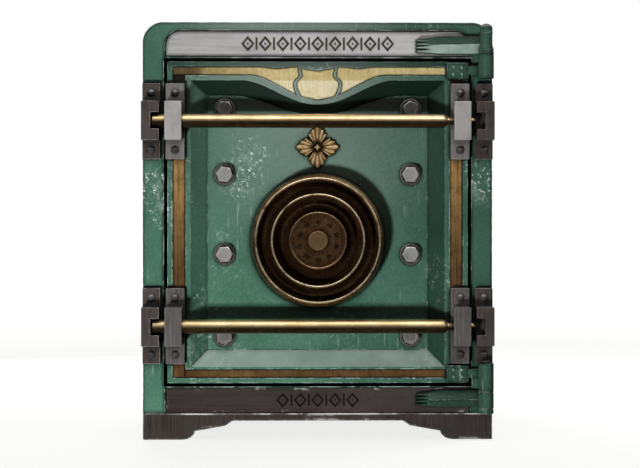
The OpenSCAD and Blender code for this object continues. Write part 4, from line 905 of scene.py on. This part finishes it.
def make_washers():
    """Thick washers with a rounded outer edge and a shallow groove round each head."""
    low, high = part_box("panel_washers")
    thick = high.y - low.y
    radius = WASHER_RADIUS
    steps = 72
    profile = [(7.4 * MM, 0), (radius, 0), (radius, thick - 1.0 * MM), (radius - 0.4 * MM, thick - 0.3 * MM),
               (radius - 1.2 * MM, thick), (12.6 * MM, thick), (12.3 * MM, thick - 0.9 * MM),
               (9.0 * MM, thick - 0.9 * MM), (9.0 * MM, thick), (7.4 * MM, thick), (7.4 * MM, 0)]
    verts, faces = [], []
    for x, z in bolt_places():
        start = len(verts)
        for r, up in profile:
            for i in range(steps):
                a = TAU * i / steps
                verts.append((x + r * math.sin(a), high.y - up, z + r * math.cos(a)))
        faces += [tuple(start + v for v in face) for face in grid_faces(len(profile), steps)]
    build("washers", verts, faces, "door", "bolt_steel", ["panel_washers"], sharp=30,
          material=WASHER_STEEL)


make_washers()
make_panel_bolts()


# ---- Hinge arms -------------------------------------------------------------------------------

AXIS = centre("hinge_pin_lower")
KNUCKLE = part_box("hinge_leaf_upper")[1].x - AXIS.x          # the knuckles' radius


def make_strap(node, z_low, z_high, paint):
    """A cast strap: a ridge between two long facets, and four fluted fingers at its free end."""
    low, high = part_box(node)
    root_x = high.x - 15 * MM
    length = root_x - low.x
    base_y = FRONT_Y + 0.8 * MM
    columns, rows = 72, 41
    verts = []
    for j in range(columns):
        u = j / (columns - 1)
        spread = smooth(u / 0.30)
        top = z_high - (1 - smooth(u / 0.45)) * 4.2 * MM
        bottom = z_low + (1 - smooth(u / 0.5)) * 2.0 * MM
        for i in range(rows):
            v = i / (rows - 1)
            lobe = abs(math.sin(math.pi * 4 * v))
            ragged = (1 - spread) * (1 - lobe ** 0.6) * 7.5 * MM
            x = low.x + u * length + ragged * (1 - u) ** 2
            z = bottom + (top - bottom) * v
            ridge_at = 0.46 + 0.04 * u
            slope = v / ridge_at if v < ridge_at else (1 - v) / (1 - ridge_at)
            body = (3.5 + 9.5 * smooth(u / 0.35) + 4.5 * u) * slope ** 0.75
            flute = (1 - spread) * 5.0 * (lobe ** 0.7)
            wall = 1.0 if 0 < i < rows - 1 else 0.0
            lift = (4.6 + body + flute) * wall * smooth(u / 0.035 + 0.05)
            verts.append((x, base_y - lift * MM, z))
    faces = []
    for j in range(columns - 1):
        for i in range(rows - 1):
            faces.append((j * rows + i, j * rows + i + 1, (j + 1) * rows + i + 1, (j + 1) * rows + i))
    strap = build(node + "_strap", verts, faces, "root", "green_paint", sharp=0, material=paint)
    close_sheet(strap, FRONT_Y + 0.9 * MM)


def close_sheet(piece, depth):
    """Gives an open height field a flat back, so that it is a closed solid."""
    mesh = piece.data
    work = bmesh.new()
    work.from_mesh(mesh)
    rim = [e for e in work.edges if e.is_boundary]
    made = bmesh.ops.extrude_edge_only(work, edges=rim)
    for v in (g for g in made["geom"] if isinstance(g, bmesh.types.BMVert)):
        v.co.y = depth
    back = [e for e in made["geom"] if isinstance(e, bmesh.types.BMEdge) and e.is_boundary]
    bmesh.ops.edgeloop_fill(work, edges=back)
    bmesh.ops.recalc_face_normals(work, faces=work.faces)
    work.to_mesh(mesh)
    work.free()
    mesh.shade_smooth()
    mesh.set_sharp_from_angle(angle=math.radians(38))


def barrel(name, points, replaces):
    """Turns (radius, z) points, in metres, about the hinges' upright axis."""
    steps = 64
    verts = [(AXIS.x + r * math.cos(TAU * i / steps), AXIS.y + r * math.sin(TAU * i / steps), z)
             for r, z in points for i in range(steps)]
    build(name, verts, grid_faces(len(points), steps), "root", "green_paint", replaces, sharp=30,
          material=HINGE_PAINT_SHADED)


def make_upper_hinge():
    """Its barrel stands on the leaf's knuckle, with a bead low down and a collar near the top."""
    low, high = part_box("hinge_arm_upper")
    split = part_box("hinge_leaf_upper")[1].z + 0.5 * MM
    top = high.z
    make_strap("hinge_arm_upper", low.z + 1 * MM, low.z + 27.5 * MM, HINGE_PAINT)
    r, bore = KNUCKLE, 4.1 * MM
    points = [(bore, split), (r - 0.6 * MM, split), (r, split + 0.6 * MM), (r, split + 2.6 * MM),
              (r - 0.7 * MM, split + 3.2 * MM), (r - 0.7 * MM, split + 4.4 * MM), (r, split + 5.0 * MM),
              (r, split + 6.2 * MM), (r - 1.9 * MM, split + 12.5 * MM), (r - 2.0 * MM, split + 14 * MM),
              (r - 2.0 * MM, top - 9.6 * MM), (r - 1.4 * MM, top - 9.0 * MM), (r - 1.4 * MM, top - 7.0 * MM),
              (r - 2.0 * MM, top - 6.4 * MM), (r - 2.0 * MM, top - 1.0 * MM), (r - 2.8 * MM, top),
              (bore, top), (bore, split)]
    barrel("hinge_barrel_upper", points, ["hinge_arm_upper"])


def make_lower_hinge():
    """Its barrel carries the leaf's knuckle on its top."""
    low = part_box("hinge_arm_lower")[0]
    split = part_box("hinge_leaf_lower")[0].z - 0.5 * MM
    make_strap("hinge_arm_lower", split - 27 * MM, split - 1.5 * MM, HINGE_PAINT_SHADED)
    r, bore = KNUCKLE, 4.1 * MM
    points = [(bore, low.z), (r - 1 * MM, low.z), (r, low.z + 1 * MM), (r, low.z + 5 * MM),
              (r - 0.8 * MM, low.z + 5.8 * MM), (r - 0.8 * MM, low.z + 7.2 * MM), (r, low.z + 8 * MM),
              (r, split - 5.4 * MM), (r - 0.7 * MM, split - 4.8 * MM), (r - 0.7 * MM, split - 3.6 * MM),
              (r, split - 3.0 * MM), (r, split - 0.6 * MM), (r - 0.6 * MM, split), (bore, split),
              (bore, low.z)]
    barrel("hinge_barrel_lower", points, ["hinge_arm_lower"])


make_upper_hinge()
make_lower_hinge()


# ---- Rosette ----------------------------------------------------------------------------------

def make_rosette():
    """Four ribbed fan petals with notched ends, parted by deep diagonal creases, round a boss."""
    low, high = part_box("rosette")
    middle = (low + high) / 2
    reach = (high.x - low.x) / 2
    rings, steps = 36, 360
    verts = []
    for i in range(rings):
        q = i / (rings - 1)
        for j in range(steps):
            a = TAU * j / steps
            diamond = 1 / (abs(math.cos(a)) + abs(math.sin(a)))
            notches = 1 - 0.07 * abs(math.sin(10 * a)) ** 0.7
            parting = 1 - 0.16 * abs(math.sin(2 * a)) ** 14
            r = reach * min(0.99, diamond * 1.06) * notches * parting * q
            crease = smooth(abs(math.cos(2 * a)) / 0.42)
            ribs = 0.5 + 0.5 * math.cos(20 * a)
            rise = smooth((q - 0.16) / 0.34)
            lift = 1.2 + 4.4 * crease * rise * (0.60 + 0.40 * ribs) * (1 - 0.25 * smooth((q - 0.7) / 0.3))
            lift *= 1 - smooth((q - 0.93) / 0.07)
            if q < 0.17:
                lift = max(lift, 2.2 + 4.2 * math.cos(q / 0.17 * math.pi / 2) ** 0.7)
            verts.append((middle.x + r * math.sin(a), PANEL_Y - lift * MM, middle.z + r * math.cos(a)))
    faces = grid_faces(rings, steps)
    build("rosette_cast", verts, faces, "door", "rosette_brass", ["rosette"], sharp=0)


make_rosette()


# ---- Floor, camera and lights -----------------------------------------------------------------

MIDDLE = Vector((0, FRONT_Y, 0.3))
KEY = Vector((-0.42, -0.80, -0.44)).normalized()            # towards the key light: low, left and in front
AMBIENT = 0.036


def make_floor():
    """A pale floor that fades into the white room far away."""
    size = 30.0
    corners = [(-size, -size, 0), (size, -size, 0), (size, size, 0), (-size, size, 0)]
    mesh = bpy.data.meshes.new("floor")
    mesh.from_pydata(corners, [], [(0, 1, 2, 3)])
    floor = add_object("floor", mesh)
    s = Shader("floor", roughness=0.9)
    s.put(s.bsdf.inputs["Emission Color"], (1, 1, 0.985, 1))
    away = s.node("ShaderNodeVectorMath", operation="LENGTH")
    s.put(away.inputs[0], s.place)
    s.put(s.bsdf.inputs["Emission Strength"], s.ramp(away.outputs["Value"], 0.3, 4.0, 0.82, 1.02))
    mesh.materials.append(s.done((0.36, 0.36, 0.34)))
    floor.visible_shadow = False
    floor.visible_diffuse = False
    floor.visible_glossy = False


def area_light(name, offset, size, power, diffuse=True, glossy=True):
    """A lamp at an offset from the middle of the front, facing it; sizes in metres, power in watts."""
    light = bpy.data.lights.new(name, "AREA")
    light.shape = "RECTANGLE"
    light.size, light.size_y = size
    light.energy = power
    lamp = add_object(name, light)
    lamp.location = MIDDLE + Vector(offset)
    lamp.rotation_euler = (MIDDLE - lamp.location).to_track_quat("-Z", "Y").to_euler()
    lamp.visible_diffuse = diffuse
    lamp.visible_glossy = glossy


def make_world():
    """White to the camera; in reflections, a room that is brighter above; to all else, a dim fill."""
    world = bpy.data.worlds.new("room")
    bpy.context.scene.world = world
    world.use_nodes = True
    n = Nodes(world.node_tree)

    def background(colour, strength):
        made = n.node("ShaderNodeBackground")
        n.put(made.inputs["Color"], colour)
        n.put(made.inputs["Strength"], strength)
        return made.outputs[0]

    def either(ray, otherwise, chosen):
        made = n.node("ShaderNodeMixShader")
        n.put(made.inputs["Fac"], rays.outputs[ray])
        n.put(made.inputs[1], otherwise)
        n.put(made.inputs[2], chosen)
        return made.outputs[0]

    split = n.node("ShaderNodeSeparateXYZ")
    n.put(split.inputs[0], n.node("ShaderNodeTexCoord").outputs["Generated"])
    slope = n.node("ShaderNodeValToRGB")
    n.put(slope.inputs["Fac"], split.outputs["Z"])
    for stop, position, grey in zip(slope.color_ramp.elements, (0.0, 0.6), (0.03, 0.9)):
        stop.position = position
        stop.color = (grey, grey, grey, 1)
    rays = n.node("ShaderNodeLightPath")
    dim = background((0.9, 0.97, 1.0), AMBIENT)
    room = either("Is Glossy Ray", dim, background(slope.outputs["Color"], 1.0))
    white = n.tree.nodes["Background"]
    n.put(white.inputs["Color"], (1, 1, 1))
    n.put(white.inputs["Strength"], 1.0)
    seen = either("Is Camera Ray", room, white.outputs[0])
    n.put(n.tree.nodes["World Output"].inputs["Surface"], seen)


def make_camera():
    """A long lens at the height of the safe's middle and a little to its left."""
    aim = Vector((0.0032, FRONT_Y, 0.2943))
    distance = 2.42
    pitch, yaw = math.radians(0.3), math.radians(0.95)
    data = bpy.data.cameras.new("camera")
    data.lens = 95.1
    data.sensor_width = 36
    camera = add_object("camera", data)
    back = Vector((-math.tan(yaw), -1, math.tan(pitch)))
    camera.location = aim + back * distance
    camera.rotation_euler = (-back).to_track_quat("-Z", "Y").to_euler()
    bpy.context.scene.camera = camera


make_floor()
make_world()
make_camera()
area_light("key", KEY * 1.75, (0.24, 0.24), 55, glossy=False)
area_light("top", (0.05, -0.42, 1.3), (1.5, 0.3), 3.2, glossy=False)
area_light("back", (-0.35, 1.35, 0.45), (0.7, 0.7), 11, glossy=False)
area_light("side", (1.30, 0.60, 0.35), (0.6, 0.6), 8, glossy=False)
area_light("strip", (0.0, -0.95, 1.35), (1.7, 0.6), 10, diffuse=False)
bpy.context.scene.view_settings.view_transform = "Standard"
